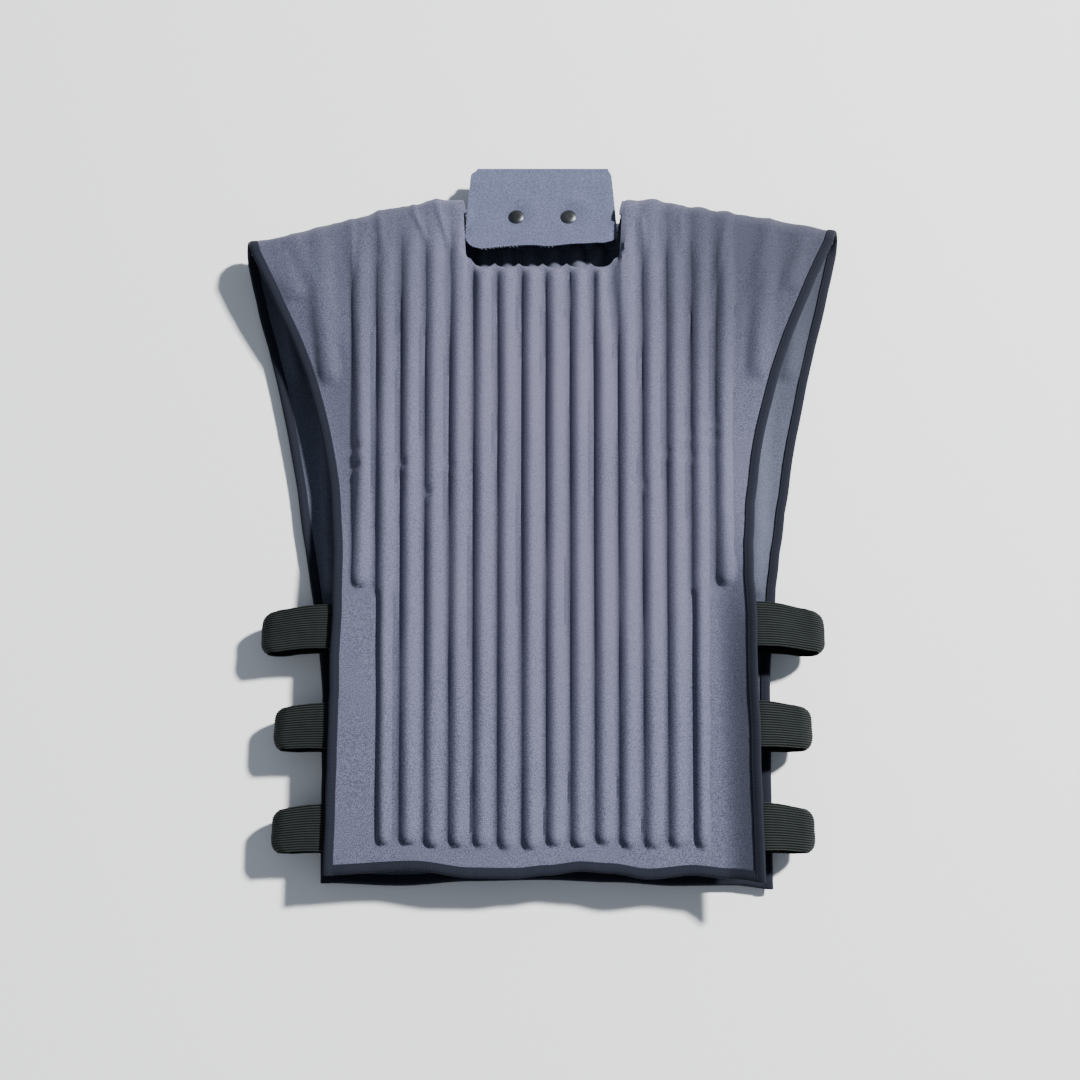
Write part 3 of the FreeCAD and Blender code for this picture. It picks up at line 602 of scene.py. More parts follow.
def shoulder_fold(word, side, around=26):
    """The cloth over one shoulder."""
    columns = [c for c in panel_columns(FINE, 16) if c * side > 0]
    kept = [c for c in columns if abs(c) * pitch(seam_y(NECK_HALF)) > NECK_HALF - 1]

    def place(i, j):
        tucked = j in (0, around + 2)
        turn = math.pi * min(max(j - 1, 0), around) / around
        mixed = (1 - math.cos(turn)) / 2
        front_x, front_y = column_place(PANELS["front"], kept[i], 700)
        rear_x, rear_y = column_place(PANELS["rear"], kept[i], 700)
        front_lift, crease = relief("front", front_x, front_y)
        rear_lift, crease_2 = relief("rear", rear_x, rear_y)
        lift = (front_lift * (1 - mixed) + rear_lift * mixed) * (1 - 0.25 * math.sin(turn))
        x = abs(front_x) * (1 - mixed) + abs(rear_x) * mixed
        lift += 1.6 * math.sin(turn) * wander(x / 24, turn * 0.9, side)
        lift += 0.5 * math.sin(turn) * wander(x / 9, turn * 2.0, side)
        spot = fold_point(side, x, turn, FOLD_OUTER + lift)
        if tucked:
            spot.y -= 0.003
        spot.z += 0.00005 * (1 if turn > 1.6 else -1)
        return spot, crease * (1 - mixed) + crease_2 * mixed

    piece = cloth_grid("shoulder_fold_cloth_" + word, len(kept) - 1, around + 2, place)
    return thicken(piece, 2 * PLY)


folds = {"left": shoulder_fold("left", -1), "right": shoulder_fold("right", 1)}
print("shoulder folds", [len(f.data.polygons) for f in folds.values()])

# %% [markdown]
# ## Binding tape
# The raw edges of the panels are closed in a narrow ribbed tape, folded in half over the edge
# and sewn down. Its section is a flat U. The section is laid at every few millimetres of the
# edge, and the tape's own end is turned in at the hem.

# %% Section of the tape
TAPE_THICK = 0.6
TAPE_SECTION = [
    (7.4, 1.3), (7.35, 1.6), (7.0, 1.85), (6.2, 1.6), (5.4, 1.85), (3.8, 2.05), (2.0, 2.0),
    (0.8, 1.7), (0.2, 1.0), (0.0, 0.0), (0.2, -1.0), (0.8, -1.7), (2.0, -2.0), (3.8, -2.05),
    (5.4, -1.85), (6.2, -1.6), (7.0, -1.85), (7.35, -1.6), (7.4, -1.3),
]


def inward(panel, y):
    """Direction in the plane from the right edge of a panel towards its cloth."""
    slope = (edge_x(panel, y + 2) - edge_x(panel, y - 2)) / 4 if y > 4 else 0
    across = Vector((-1, slope)).normalized()
    shoulder = Vector((-math.cos(LEAN), math.sin(LEAN)))
    return across.lerp(shoulder, ease(y, 535, 568)).normalized()


def side_spot(name, side, y, inset, rise):
    """A point beside the edge of a panel, at an inset from it and above its middle."""
    panel = PANELS[name]
    towards = inward(panel, y)
    x = edge_x(panel, y) + towards.x * inset
    return lie(name, side * x, y + towards.y * inset, SEAM_Z[name] + rise)


# %% Make the side tapes
def tape_lift(a, b):
    """Small unevenness of a sewn tape."""
    return 1 + 0.10 * wander(a / 9, b) + 0.06 * wander(a / 3.1, b, 3)


def side_tape(name, word, side):
    """The tape along one side of a panel, from the hem up to the shoulder tip."""
    panel = PANELS[name]
    low, high = panel["hem"] - 0.8, seam_y(panel["tip_x"])
    along = round((high - low) / 3.6)

    def place(i, j):
        y = low + (high - low) * j / along
        inset, rise = TAPE_SECTION[i]
        rise *= tape_lift(y, side) * end_round(y - low + 0.25, 3)
        return side_spot(name, side, y, inset - 0.15, rise), 0.0

    size = (0.022, (high - low) / 1000)
    piece = cloth_grid(name + "_tape_" + word, len(TAPE_SECTION) - 1, along, place, size,
                       flip=side > 0)
    return thicken(piece, TAPE_THICK)


tapes = {}
for name in PANELS:
    for word, side in (("left", -1), ("right", 1)):
        tapes[name, word] = side_tape(name, word, side)
print("side tapes", len(tapes))

# %% Make the hem tapes and the tapes over the shoulder tips
def hem_tape(name):
    """The tape along a hem, with its ends under the side tapes."""
    panel = PANELS[name]
    reach = panel["hem_x"] - 3
    along = round(reach / 1.6)

    def place(i, j):
        x = -reach + 2 * reach * j / along
        inset, rise = TAPE_SECTION[i]
        rise *= tape_lift(x, 7) * (1 - 0.25 * ease(abs(x), reach - 9, reach - 5))
        return lie(name, x, panel["hem"] + inset - 0.1, SEAM_Z[name] + rise), 0.0

    piece = cloth_grid(name + "_hem_tape", len(TAPE_SECTION) - 1, along, place,
                       (0.022, 2 * reach / 1000), flip=True)
    return thicken(piece, TAPE_THICK)


def shoulder_tape(word, side, around=22):
    """The tape over the end of a shoulder fold; it joins the two side tapes."""
    def place(i, j):
        turn = math.pi * j / around
        mixed = (1 - math.cos(turn)) / 2
        inset, rise = TAPE_SECTION[i]
        tip = PANELS["front"]["tip_x"] * (1 - mixed) + PANELS["rear"]["tip_x"] * mixed
        radius = FOLD_OUTER - PLY + rise * tape_lift(turn * 14, side)
        return fold_point(side, tip, turn, radius, inset - 0.15), 0.0

    piece = cloth_grid("shoulder_tape_" + word, len(TAPE_SECTION) - 1, around, place,
                       (0.022, 0.052), flip=side > 0)
    return thicken(piece, TAPE_THICK)


hem_tapes = {name: hem_tape(name) for name in PANELS}
shoulder_tapes = {"left": shoulder_tape("left", -1), "right": shoulder_tape("right", 1)}
print("hem tapes", len(hem_tapes), "shoulder tapes", len(shoulder_tapes))

# %% [markdown]
# ## Side elastics
# Three flat elastic bands on each side are sewn under the front edge, go round outside and
# come back to the rear edge. They are woven with fine ribs along their length. A band that
# is not pulled stands out as an open loop with rounded corners.

# %% Make the elastics
LOOPS = {
    "upper": dict(reach=245, y=210, droop=5.0),
    "middle": dict(reach=230, y=124, droop=2.0),
    "lower": dict(reach=228, y=39, droop=2.5),
}
BAND_HALF = 19
BAND_THICK = 1.3
RIBS = 18


def elastic(word, side, place_name):
    """One loop of ribbed elastic."""
    facts = LOOPS[place_name]
    reach, middle = facts["reach"], facts["y"]
    top_z, low_z = FRONT_SEAM_Z - 3.3, REAR_SEAM_Z + 3.0
    loop = (top_z - low_z) / 2
    start = edge_x(PANELS["front"], middle) - 12.5
    end = edge_x(PANELS["rear"], middle) - 12.5
    bend = reach - 0.8 - loop
    across, along = RIBS * 6, 56
    lengths = [bend - start, math.pi * loop, bend - end]
    total = sum(lengths)

    def place(i, j):
        width = 2 * i / across - 1
        done = total * j / along
        corner = 5.5 * abs(width) ** 5
        wavy = math.cos(2 * math.pi * RIBS * i / across)
        rib = 0.28 * wavy + 0.25 * wander(done / 8, width * 2, middle)
        if done < lengths[0]:
            x, z, turn = start + done, top_z, 0.0
        elif done < lengths[0] + lengths[1]:
            turn = (done - lengths[0]) / loop
            x, z = bend + loop * math.sin(turn), FOLD_CENTRE_Z + loop * math.cos(turn)
        else:
            turn = math.pi
            x, z = bend - (done - lengths[0] - lengths[1]), low_z
        out = ease(x, start + 10, reach)
        x -= corner * out
        x += rib * math.sin(turn)
        z += rib * math.cos(turn) - 1.2 * out * math.cos(turn) * (1 - width * width)
        z += edge_rise(side * x, middle) * (0.5 + 0.5 * math.cos(turn)) * (1 - 0.7 * out)
        y = middle + width * (BAND_HALF - 1.5 * out) - facts["droop"] * out * out
        # The second value is high in the rib valleys, where it darkens the band as painted shade.
        return point(side * x, y, z), 0.5 - 0.5 * wavy

    piece = cloth_grid("elastic_" + word + "_" + place_name, across, along, place,
                       (BAND_HALF * 0.002, total / 1000), flip=side > 0)
    return thicken(piece, BAND_THICK)


elastics = {}
for word, side in (("left", -1), ("right", 1)):
    for place_name in LOOPS:
        elastics[word, place_name] = elastic(word, side, place_name)
print("elastics", sorted(elastics))

# %% [markdown]
# ## The collar
# One strip of cloth is sewn to the rear neckline, rises to a fold, and comes back down as a
# flap that closes the neck opening on two snaps. The whole strip is one grid that follows the
# line of its section. It is pulled flat round the snaps and is a little wavy at its free edge.

# %% Line of the collar's section
TILT = math.radians(7)
GAP_HALF = 2.1
FOLD_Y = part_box("collar_stand")[1][1] * 1000 - HEM - GAP_HALF - PLY / 2
FOLD_AT = Vector((0, FOLD_Y, REAR_SEAM_Z + 13))
DOWN_FLAP = Vector((0, -math.cos(TILT), math.sin(TILT)))
OFF_FLAP = Vector((0, math.sin(TILT), math.cos(TILT)))
SNAP_X = 24.5
SNAP_DOWN = 54
FLAP_LENGTH = 88.9
COLLAR_HALF = 62.5
LEFT_OUT = 3.0
KNEE = SNAP_DOWN + 9
ROOT = Vector((0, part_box("collar_stand")[0][1] * 1000 - HEM, REAR_SEAM_Z + 1.5 * PLY))


def on_flap(distance, lift):
    return FOLD_AT + DOWN_FLAP * distance + OFF_FLAP * lift


def collar_line(done):
    """Point and crossing direction of the collar at a length from its sewn root."""
    knee = on_flap(KNEE, -GAP_HALF)
    foot = Vector((0, knee.y, ROOT.z))
    corners = [ROOT, foot, knee, on_flap(0, -GAP_HALF)]
    for a, b in zip(corners, corners[1:]):
        length = (b - a).length
        if done <= length:
            return a.lerp(b, done / length), "stand", length - done
        done -= length
    if done <= math.pi * GAP_HALF:
        turn = done / GAP_HALF
        return FOLD_AT - DOWN_FLAP * GAP_HALF * math.sin(turn) \
            - OFF_FLAP * GAP_HALF * math.cos(turn), "fold", 0
    done -= math.pi * GAP_HALF
    return on_flap(done, GAP_HALF), "flap", done


# %% Make the collar
def collar():
    """The collar's strip of cloth, from the rear neckline to the flap's free edge."""
    knee = on_flap(KNEE, -GAP_HALF)
    stand = (knee.y - ROOT.y) + (knee.z - ROOT.z) + KNEE
    total = stand + math.pi * GAP_HALF + FLAP_LENGTH
    across = 96
    rows = [stand * k / 26 for k in range(26)]
    rows += [stand + math.pi * GAP_HALF * k / 12 for k in range(12)]
    rows += [stand + math.pi * GAP_HALF + FLAP_LENGTH * k / 50 for k in range(51)]

    def place(i, j):
        side = 2 * i / across - 1
        spot, where, done = collar_line(min(rows[j], total - 0.001))
        half = COLLAR_HALF
        crease = 0.0
        if where == "flap":
            share = done / FLAP_LENGTH
            half = COLLAR_HALF + 2.0 * ease(done, 0, 7) + 5.5 * share ** 0.8
            corner = 12 if side > 0 else 15
            left = corner - (FLAP_LENGTH - done)
            if left > 0:
                half -= corner - math.sqrt(max(corner * corner - left * left, 0))
            x = side * (half + LEFT_OUT * (side < 0))
            near = min((Vector((abs(x) - SNAP_X, done - SNAP_DOWN)).length - 7) / 13, 1)
            lift = 1.1 * ease(near, 0, 1) * ease(done, 2, 16)
            lift += 0.7 * wander(x / 34, done / 40, 8) * ease(done, 12, 40) * max(near, 0)
            rim = ease(abs(side), 0.86, 1.0) * ease(share, 0.1, 0.4)
            lift += 1.3 * rim * wander(done / 17, side)
            spot = spot + OFF_FLAP * max(lift, 0)
            spot = spot + DOWN_FLAP * share * (1.3 * wander(x / 26, 4) - 2.9 - 3.2 * x / 70)
            # Round the snaps the crease value darkens the flap as painted shade.
            crease = 0.8 * (1 - ease(near, 0, 0.6))
        elif where == "stand":
            upright = rows[j] >= stand - KNEE
            half += 4.0 * (ease(done, 0, 30) if upright else 1)
            half += 3.5 * (side < 0) * ease(done, 2, 14)
        left_out = LEFT_OUT * ease(done, 0, 5) if side < 0 and where == "flap" else 0
        x = side * (half + left_out)
        return point(x, spot.y, spot.z), crease

    piece = cloth_grid("collar_cloth", across, len(rows) - 1, place,
                       (0.14, total / 1000), flip=True)
    return thicken(piece, PLY, 0), total


collar_piece, collar_length = collar()
print("collar strip", round(collar_length, 1), "mm long")

# %% [markdown]
# ## Snap caps
# A snap cap is pressed from thin sheet: a rolled rim, a smooth dome and a slightly sunken
# middle. It starts as a flat disc, which is extruded and drawn in ring by ring, and then
# leaned with the flap. The parts under the flap stay as the frame gives them.

# %% Make the snap caps
CAP_RINGS = [
    (6.95, 0.0), (7.25, 0.25), (7.32, 0.55), (7.2, 0.85), (6.95, 1.0), (6.7, 0.97), (6.4, 1.1),
    (5.6, 1.5), (4.6, 1.82), (3.6, 2.0), (2.5, 2.1), (1.6, 2.1), (0.8, 2.06),
]


def snap_cap(side):
    """One cap, spun up from a disc and set on the flap."""
    deselect()
    bpy.ops.mesh.primitive_circle_add(vertices=48, radius=CAP_RINGS[0][0] / 1000,
                                      fill_type="NGON")
    cap = bpy.context.object
    bpy.ops.object.mode_set(mode="EDIT")
    bpy.ops.mesh.select_mode(type="FACE")
    for (r0, z0), (r1, z1) in zip(CAP_RINGS, CAP_RINGS[1:]):
        bpy.ops.mesh.extrude_region_move(
            TRANSFORM_OT_translate={"value": (0, 0, (z1 - z0) / 1000)})
        bpy.ops.transform.resize(value=(r1 / r0, r1 / r0, 1), center_override=(0, 0, 0))
    bpy.ops.mesh.select_mode(type="EDGE")
    bpy.ops.mesh.select_all(action="DESELECT")
    bpy.ops.mesh.select_non_manifold()
    bpy.ops.mesh.edge_face_add()
    bpy.ops.mesh.select_all(action="SELECT")
    bpy.ops.mesh.normals_make_consistent(inside=False)
    bpy.ops.object.mode_set(mode="OBJECT")
    seat = on_flap(SNAP_DOWN, GAP_HALF + PLY / 2)
    cap.rotation_euler = (-TILT, 0, 0)
    cap.location = point(side * SNAP_X, seat.y, seat.z)
    bpy.ops.object.transform_apply(location=True, rotation=True, scale=True)
    bpy.ops.object.shade_smooth()
    return cap


caps = join("snap_cap_pressings", [snap_cap(-1), snap_cap(1)])
print("snap caps", len(caps.data.polygons), "faces")

# %% [markdown]
# ## Stitches
# Every tape is sewn down with a row of stitches along its inner edge. One stitch is modelled as
# a small rounded piece of thread with few faces, and copied along each row.

# %% One stitch, and a row of copies
def thread_piece():
    """A rounded piece of thread along X, two units long and thick."""
    deselect()
    bpy.ops.mesh.primitive_uv_sphere_add(segments=6, ring_count=4, radius=1)
    piece = bpy.context.object
    bpy.ops.object.mode_set(mode="EDIT")
    bpy.ops.mesh.select_all(action="SELECT")
    bpy.ops.transform.rotate(value=math.pi / 2, orient_axis="Y", center_override=(0, 0, 0))
    bpy.ops.object.mode_set(mode="OBJECT")
    shape = [tuple(v.co) for v in piece.data.vertices]
    faces = [tuple(p.vertices) for p in piece.data.polygons]
    bpy.data.objects.remove(piece)
    return shape, faces


STITCH, STITCH_FACES = thread_piece()


def thread_row(name, spots, long, thick):
    """Copies of the stitch at (place, direction, normal), as one mesh."""
    vertices, faces = [], []
    for place, along, normal in spots:
        along = along.normalized()
        cross = normal.cross(along).normalized()
        normal = along.cross(cross)
        base = len(vertices)
        for x, y, z in STITCH:
            vertices.append(place + along * x * long + cross * y * thick
                            + normal * z * thick * 0.8)
        faces.extend(tuple(base + k for k in face) for face in STITCH_FACES)
    mesh = bpy.data.meshes.new(name)
    mesh.from_pydata(vertices, [], faces)
    mesh.shade_smooth()
    piece = bpy.data.objects.new(name, mesh)
    bpy.context.collection.objects.link(piece)
    return piece


# %% Rows on the tapes
STITCH_RISE = 1.76
STITCH_STEP = 4.2


def tape_spots(name):
    """Stitches of all tapes of a panel, on both of its faces."""
    panel = PANELS[name]
    spots = []
    for face in (1, -1):
        rise = face * STITCH_RISE
        normal = Vector((0, 0, face))
        for side in (-1, 1):
            y = panel["hem"] + 6
            while y < seam_y(panel["tip_x"]) - 1:
                here = side_spot(name, side, y, 6.2, rise)
                spots.append((here, side_spot(name, side, y + 2, 6.2, rise) - here, normal))
                y += STITCH_STEP
        x = -panel["hem_x"] + 11
        while x < panel["hem_x"] - 11:
            y = panel["hem"] + 6.25
            here = lie(name, x, y, SEAM_Z[name] + rise)
            ahead = lie(name, x + 2, y, SEAM_Z[name] + rise)
            spots.append((here, ahead - here, normal))
            x += STITCH_STEP
    return spots


tape_threads = {name: thread_row(name + "_tape_stitches", tape_spots(name), 0.0015, 0.00026)
                for name in PANELS}

# %% [markdown]
# ## Frayed edge of the flap
# The collar's cloth is cut and left raw, so fine fibres stand out of its edge. They are short
# pieces of thread with their own direction and length, set along the edge of the flap.

# %% Make the fibres
def fray_spots():
    """Fibres along the two sides and the free edge of the flap."""
    spots = []
    cloth = collar_piece.data
    level = on_flap(2, 0).y
    rim = [v.co for v in cloth.vertices if v.co.y * 1000 - HEM < level and v.co.z > 0.0185]
    right = max(co.x for co in rim)
    low = min(co.y for co in rim)
    for number, co in enumerate(rim):
        side = abs(co.x) > right - 0.0045 and abs(co.x) > 0.0635
        end = co.y < low + 0.0035
        if not (side or end) or number % 3:
            continue
        out = Vector((math.copysign(1.0, co.x) if side else 0, -1.0 if end else 0, 0))
        drift = Vector((wander(number * 1.7, 1), wander(number * 2.3, 2), wander(number, 3)))
        along = out.normalized() + 0.8 * drift
        long = 0.0006 + 0.0005 * abs(wander(number * 3.1, 4))
        spots.append((co + along * long * 0.6, along, Vector((0, 0, 1))))
    return spots


fibres = thread_row("collar_fray", fray_spots(), 0.0009, 0.00009)
print("fibres", len(fibres.data.polygons) // len(STITCH_FACES))

# %% [markdown]
# ## Shared effects for the materials
# Five effects are used by more than one material, so each is a node group with named sockets:
# the weave with its speckle, the ribs of tapes and elastics, the soft stains and wear of a
# used cloth, painted shade in the creases, and the slow change of tint over the body with
# painted shade on its shoulders and lower right margin.

# %% Helpers for node trees
def feed(tree, socket, value):
    """Links a socket to another one, or sets it to a plain value."""
    if isinstance(value, bpy.types.NodeSocket):
        tree.links.new(value, socket)
    else:
        socket.default_value = value


def node(tree, kind, inputs=(), **settings):
    """A new node with its settings; each input takes a plain value or another socket."""
    made = tree.nodes.new(kind)
    for key, value in settings.items():
        setattr(made, key, value)
    for title, value in dict(inputs).items():
        feed(tree, made.inputs[title], value)
    return made


def math_node(tree, operation, first, second):
    return node(tree, "ShaderNodeMath", {0: first, 1: second}, operation=operation).outputs[0]


def times(tree, first, second):
    return math_node(tree, "MULTIPLY", first, second)


def plus(tree, first, second):
    return math_node(tree, "ADD", first, second)


def noise_node(tree, vector, scale, detail, rough):
    return node(tree, "ShaderNodeTexNoise", {"Vector": vector, "Scale": scale,
                                             "Detail": detail, "Roughness": rough}).outputs["Fac"]


def bands_node(tree, direction, vector, scale, distortion):
    """Parallel bands with slightly uneven edges."""
    inputs = {"Vector": vector, "Scale": scale, "Distortion": distortion, "Detail": 1.0}
    return node(tree, "ShaderNodeTexWave", inputs, wave_type="BANDS",
                bands_direction=direction).outputs["Fac"]


def soft_step(tree, value, low, high):
    """Goes softly from 0 at low to 1 at high."""
    return node(tree, "ShaderNodeMapRange", {"Value": value, "From Min": low, "From Max": high},
                interpolation_type="SMOOTHSTEP").outputs["Result"]


def new_group(name, numbers, outputs):
    """A node group that takes a vector and named numbers, and gives named numbers back."""
    tree = bpy.data.node_groups.new(name, "ShaderNodeTree")
    tree.interface.new_socket(name="Vector", in_out="INPUT", socket_type="NodeSocketVector")
    for title, value in numbers.items():
        socket = tree.interface.new_socket(name=title, in_out="INPUT",
                                           socket_type="NodeSocketFloat")
        socket.default_value = value
    for title in outputs:
        tree.interface.new_socket(name=title, in_out="OUTPUT", socket_type="NodeSocketFloat")
    start, end = tree.nodes.new("NodeGroupInput"), tree.nodes.new("NodeGroupOutput")
    return tree, start.outputs, end.inputs


# %% The weave and the ribs
def build_weave():
    """Crossing threads with a fine speckle; Mask is the thread colour, Height its relief."""
    tree, start, end = new_group("cloth_weave", {"Threads": 520.0, "Speckle": 0.6},
                                 ("Mask", "Height"))
    bands = [bands_node(tree, direction, start["Vector"], start["Threads"], 0.6)
             for direction in ("X", "Y")]
    cross = times(tree, *bands)
    grain = noise_node(tree, start["Vector"], 1150.0, 2.0, 0.7)
    fleck = times(tree, plus(tree, grain, -0.5), start["Speckle"])
    mask = plus(tree, times(tree, cross, 0.35), 0.33)
    feed(tree, end["Mask"], plus(tree, mask, times(tree, fleck, 24.0)))
    feed(tree, end["Height"], plus(tree, times(tree, cross, 0.6), fleck))
    return tree


def build_ribs():
    """Ribs across or along a tape, read from its own UV map in metres."""
    tree, start, end = new_group("tape_ribs", {"Ribs": 260.0}, ("Mask", "Height"))
    bands = bands_node(tree, "Y", start["Vector"], start["Ribs"], 0.5)
    grain = noise_node(tree, start["Vector"], 1400.0, 2.0, 0.6)
    feed(tree, end["Mask"], plus(tree, times(tree, bands, 0.55), times(tree, grain, 0.45)))
    feed(tree, end["Height"], plus(tree, bands, grain))
    return tree


# %% Wear, painted crease shade, and the tint and painted shade of the body
def build_wear():
    """Soft stains, rubbed places and dust: one slow and one quicker noise."""
    tree, start, end = new_group("cloth_wear", {"Amount": 0.5}, ("Mask",))
    slow = noise_node(tree, start["Vector"], 11.0, 3.0, 0.55)
    quick = noise_node(tree, start["Vector"], 75.0, 4.0, 0.6)
    both = plus(tree, times(tree, slow, 0.65), times(tree, quick, 0.35))
    spread = times(tree, plus(tree, both, -0.5), 2.4)
    feed(tree, end["Mask"], plus(tree, times(tree, spread, start["Amount"]), 0.5))
    return tree


def build_crease():
    """Painted shade in the creases; it reads the crease value stored with the cloth."""
    tree, start, end = new_group("painted_crease_shade", {"Depth": 0.8}, ("Mask",))
    stored = node(tree, "ShaderNodeAttribute", attribute_name="crease").outputs["Fac"]
    rough = noise_node(tree, start["Vector"], 30.0, 2.0, 0.5)
    uneven = plus(tree, times(tree, rough, 0.5), 0.6)
    feed(tree, end["Mask"], times(tree, times(tree, stored, uneven), start["Depth"]))
    return tree


def build_body_tint_and_shade():
    """Large, slow changes over the body: a warmer, faded chest, and painted shade on the shoulders
    and along the lower right margin.
    """
    tree, start, end = new_group("body_tint_and_shade", {}, ("Warm", "PaintedShade"))
    rough = noise_node(tree, start["Vector"], 9.0, 2.0, 0.5)
    split = node(tree, "ShaderNodeSeparateXYZ", {0: start["Vector"]}).outputs
    x, y = split["X"], split["Y"]
    far_x, far_y = times(tree, x, x), plus(tree, y, -0.02)
    far = plus(tree, times(tree, far_x, 1.6), times(tree, far_y, far_y))
    chest = times(tree, soft_step(tree, far, 0.09, 0.0), rough)
    feed(tree, end["Warm"], times(tree, chest, 0.7))
    # Painted shade: darker high on the shoulders, more so on the right, and along the lower right
    # margin.
    high = times(tree, soft_step(tree, y, 0.02, 0.24), soft_step(tree, far_x, 0.002, 0.02))
    rightwards = plus(tree, times(tree, soft_step(tree, x, -0.05, 0.24), 0.3), 0.34)
    margin = times(tree, soft_step(tree, x, 0.135, 0.175), soft_step(tree, y, -0.02, -0.16))
    feed(tree, end["PaintedShade"], math_node(tree, "MAXIMUM", times(tree, high, rightwards),
                                      times(tree, margin, 0.66)))
    return tree


weave, ribs, wear = build_weave(), build_ribs(), build_wear()
painted_crease_shade, body_tint_and_shade = build_crease(), build_body_tint_and_shade()
print("groups", [(group.name, len(group.nodes)) for group in bpy.data.node_groups])

# %% [markdown]
# ## The cloth, tape, elastic and metal
# Each material mixes its own colours with the masks of the groups, and takes its bump from
# their heights. Numbers that are the same all over are set on the shader itself.

# %% A material from the groups
def place_group(tree, group, vector, **values):
    return node(tree, "ShaderNodeGroup", {"Vector": vector, **values}, node_tree=group).outputs


def mix_colour(tree, factor, first, second):
    """A colour mix whose ends are plain colours or sockets."""
    made = node(tree, "ShaderNodeMix", data_type="RGBA", clamp_factor=True)
    for number, value in ((0, factor), (6, first), (7, second)):
        feed(tree, made.inputs[number], (*value, 1) if isinstance(value, tuple) else value)
    return made.outputs[2]


def start_material(name, rough, sheen, coordinates="Object", metallic=0.0, gloss=0.3):
    """A Principled material; returns its tree, shader and pattern coordinates."""
    material = bpy.data.materials.new(name)
    material.use_nodes = True
    tree = material.node_tree
    shader = tree.nodes["Principled BSDF"]
    for title, value in (("Roughness", rough), ("Sheen Weight", sheen),
                         ("Metallic", metallic), ("Specular IOR Level", gloss)):
        shader.inputs[title].default_value = value
    vector = node(tree, "ShaderNodeTexCoord").outputs[coordinates]
    return material, tree, shader, vector


def finish_material(tree, shader, colour, height, strength, distance, rough_mask, low, high):
    """Links colour, bump and an uneven roughness."""
    bump = node(tree, "ShaderNodeBump", {"Strength": strength, "Distance": distance,
                                         "Height": height})
    spread = node(tree, "ShaderNodeMapRange", {"Value": rough_mask, "To Min": low,
                                               "To Max": high})
    feed(tree, shader.inputs["Base Color"], colour)
    feed(tree, shader.inputs["Normal"], bump.outputs["Normal"])
    feed(tree, shader.inputs["Roughness"], spread.outputs["Result"])


def warmer(colour):
    """The same lightness with a little more red."""
    return (colour[0] * 1.05, colour[1] * 0.93, colour[2] * 0.92)


def cloth_material(name, dark, light, shade_colour, threads, depth, worn=0.5):
    """Woven cloth with speckle and wear, and painted shade in its creases, on the shoulders and
    along the lower right margin.
    """
    material, tree, shader, vector = start_material(name, 0.85, 0.08)
    threads_out = place_group(tree, weave, vector, Threads=threads, Speckle=0.6)
    wear_out = place_group(tree, wear, vector, Amount=worn)
    crease_shade_out = place_group(tree, painted_crease_shade, vector, Depth=depth)
    body_out = place_group(tree, body_tint_and_shade, vector)
    base = mix_colour(tree, threads_out["Mask"], dark, light)
    faded = tuple(min(c * 1.22 + 0.012, 1) for c in light)
    base = mix_colour(tree, times(tree, wear_out["Mask"], 0.45), base, faded)
    # Painted shade in the creases.
    base = mix_colour(tree, crease_shade_out["Mask"], base, shade_colour)
    base = mix_colour(tree, body_out["Warm"], base, warmer(light))
    # Painted shade on the shoulders and along the lower right margin.
    base = mix_colour(tree, body_out["PaintedShade"], base, shade_colour)
    finish_material(tree, shader, base, threads_out["Height"], 0.35, 0.0004,
                    wear_out["Mask"], 0.78, 0.94)
    return material


outer_cloth = cloth_material("outer_cloth_blue_grey", (0.026, 0.028, 0.048),
                             (0.108, 0.112, 0.172), (0.015, 0.017, 0.028), 420.0, 0.14)
# The lining is the outer cloth's blue-grey, painted darker as painted shade for the inner plies,
# which lie in shadow.
shaded_lining_cloth = cloth_material("lining_cloth_painted_shade", (0.034, 0.039, 0.060),
                              (0.080, 0.089, 0.130), (0.008, 0.010, 0.017), 420.0, 0.14)
collar_cloth = cloth_material("collar_cloth_blue_grey", (0.030, 0.035, 0.063),
                              (0.104, 0.115, 0.193), (0.04, 0.046, 0.07), 420.0, 0.4, 0.35)
foam = cloth_material("padding_foam", (0.42, 0.42, 0.40), (0.55, 0.55, 0.52),
                      (0.3, 0.3, 0.28), 900.0, 0.3)

# %% Tapes, elastics and thread
def ribbed_material(name, dark, light, ribs_scale, rough, strength):
    """A ribbed band, with its pattern along its own UV map."""
    material, tree, shader, vector = start_material(name, rough, 0.0, "UV", gloss=0.12)
    place = node(tree, "ShaderNodeTexCoord").outputs["Object"]
    rib_out = place_group(tree, ribs, vector, Ribs=ribs_scale)
    wear_out = place_group(tree, wear, place, Amount=0.6)
    # Painted shade in the rib valleys of the elastics; the tapes' crease value is 0.
    crease_shade_out = place_group(tree, painted_crease_shade, place, Depth=1.3)
    base = mix_colour(tree, rib_out["Mask"], dark, light)
    dusty = tuple(c * 1.5 + 0.003 for c in light)
    base = mix_colour(tree, times(tree, wear_out["Mask"], 0.3), base, dusty)
    base = mix_colour(tree, crease_shade_out["Mask"], base, dark)
    finish_material(tree, shader, base, rib_out["Height"], strength, 0.0003,
                    wear_out["Mask"], rough - 0.1, rough + 0.1)
    return material


tape_dark = ribbed_material("binding_tape_dark_grey", (0.0045, 0.0055, 0.010),
                            (0.015, 0.0175, 0.027), 270.0, 0.85, 0.3)
elastic_black = ribbed_material("elastic_black", (0.0008, 0.0010, 0.0010),
                                (0.036, 0.044, 0.042), 420.0, 0.75, 0.5)


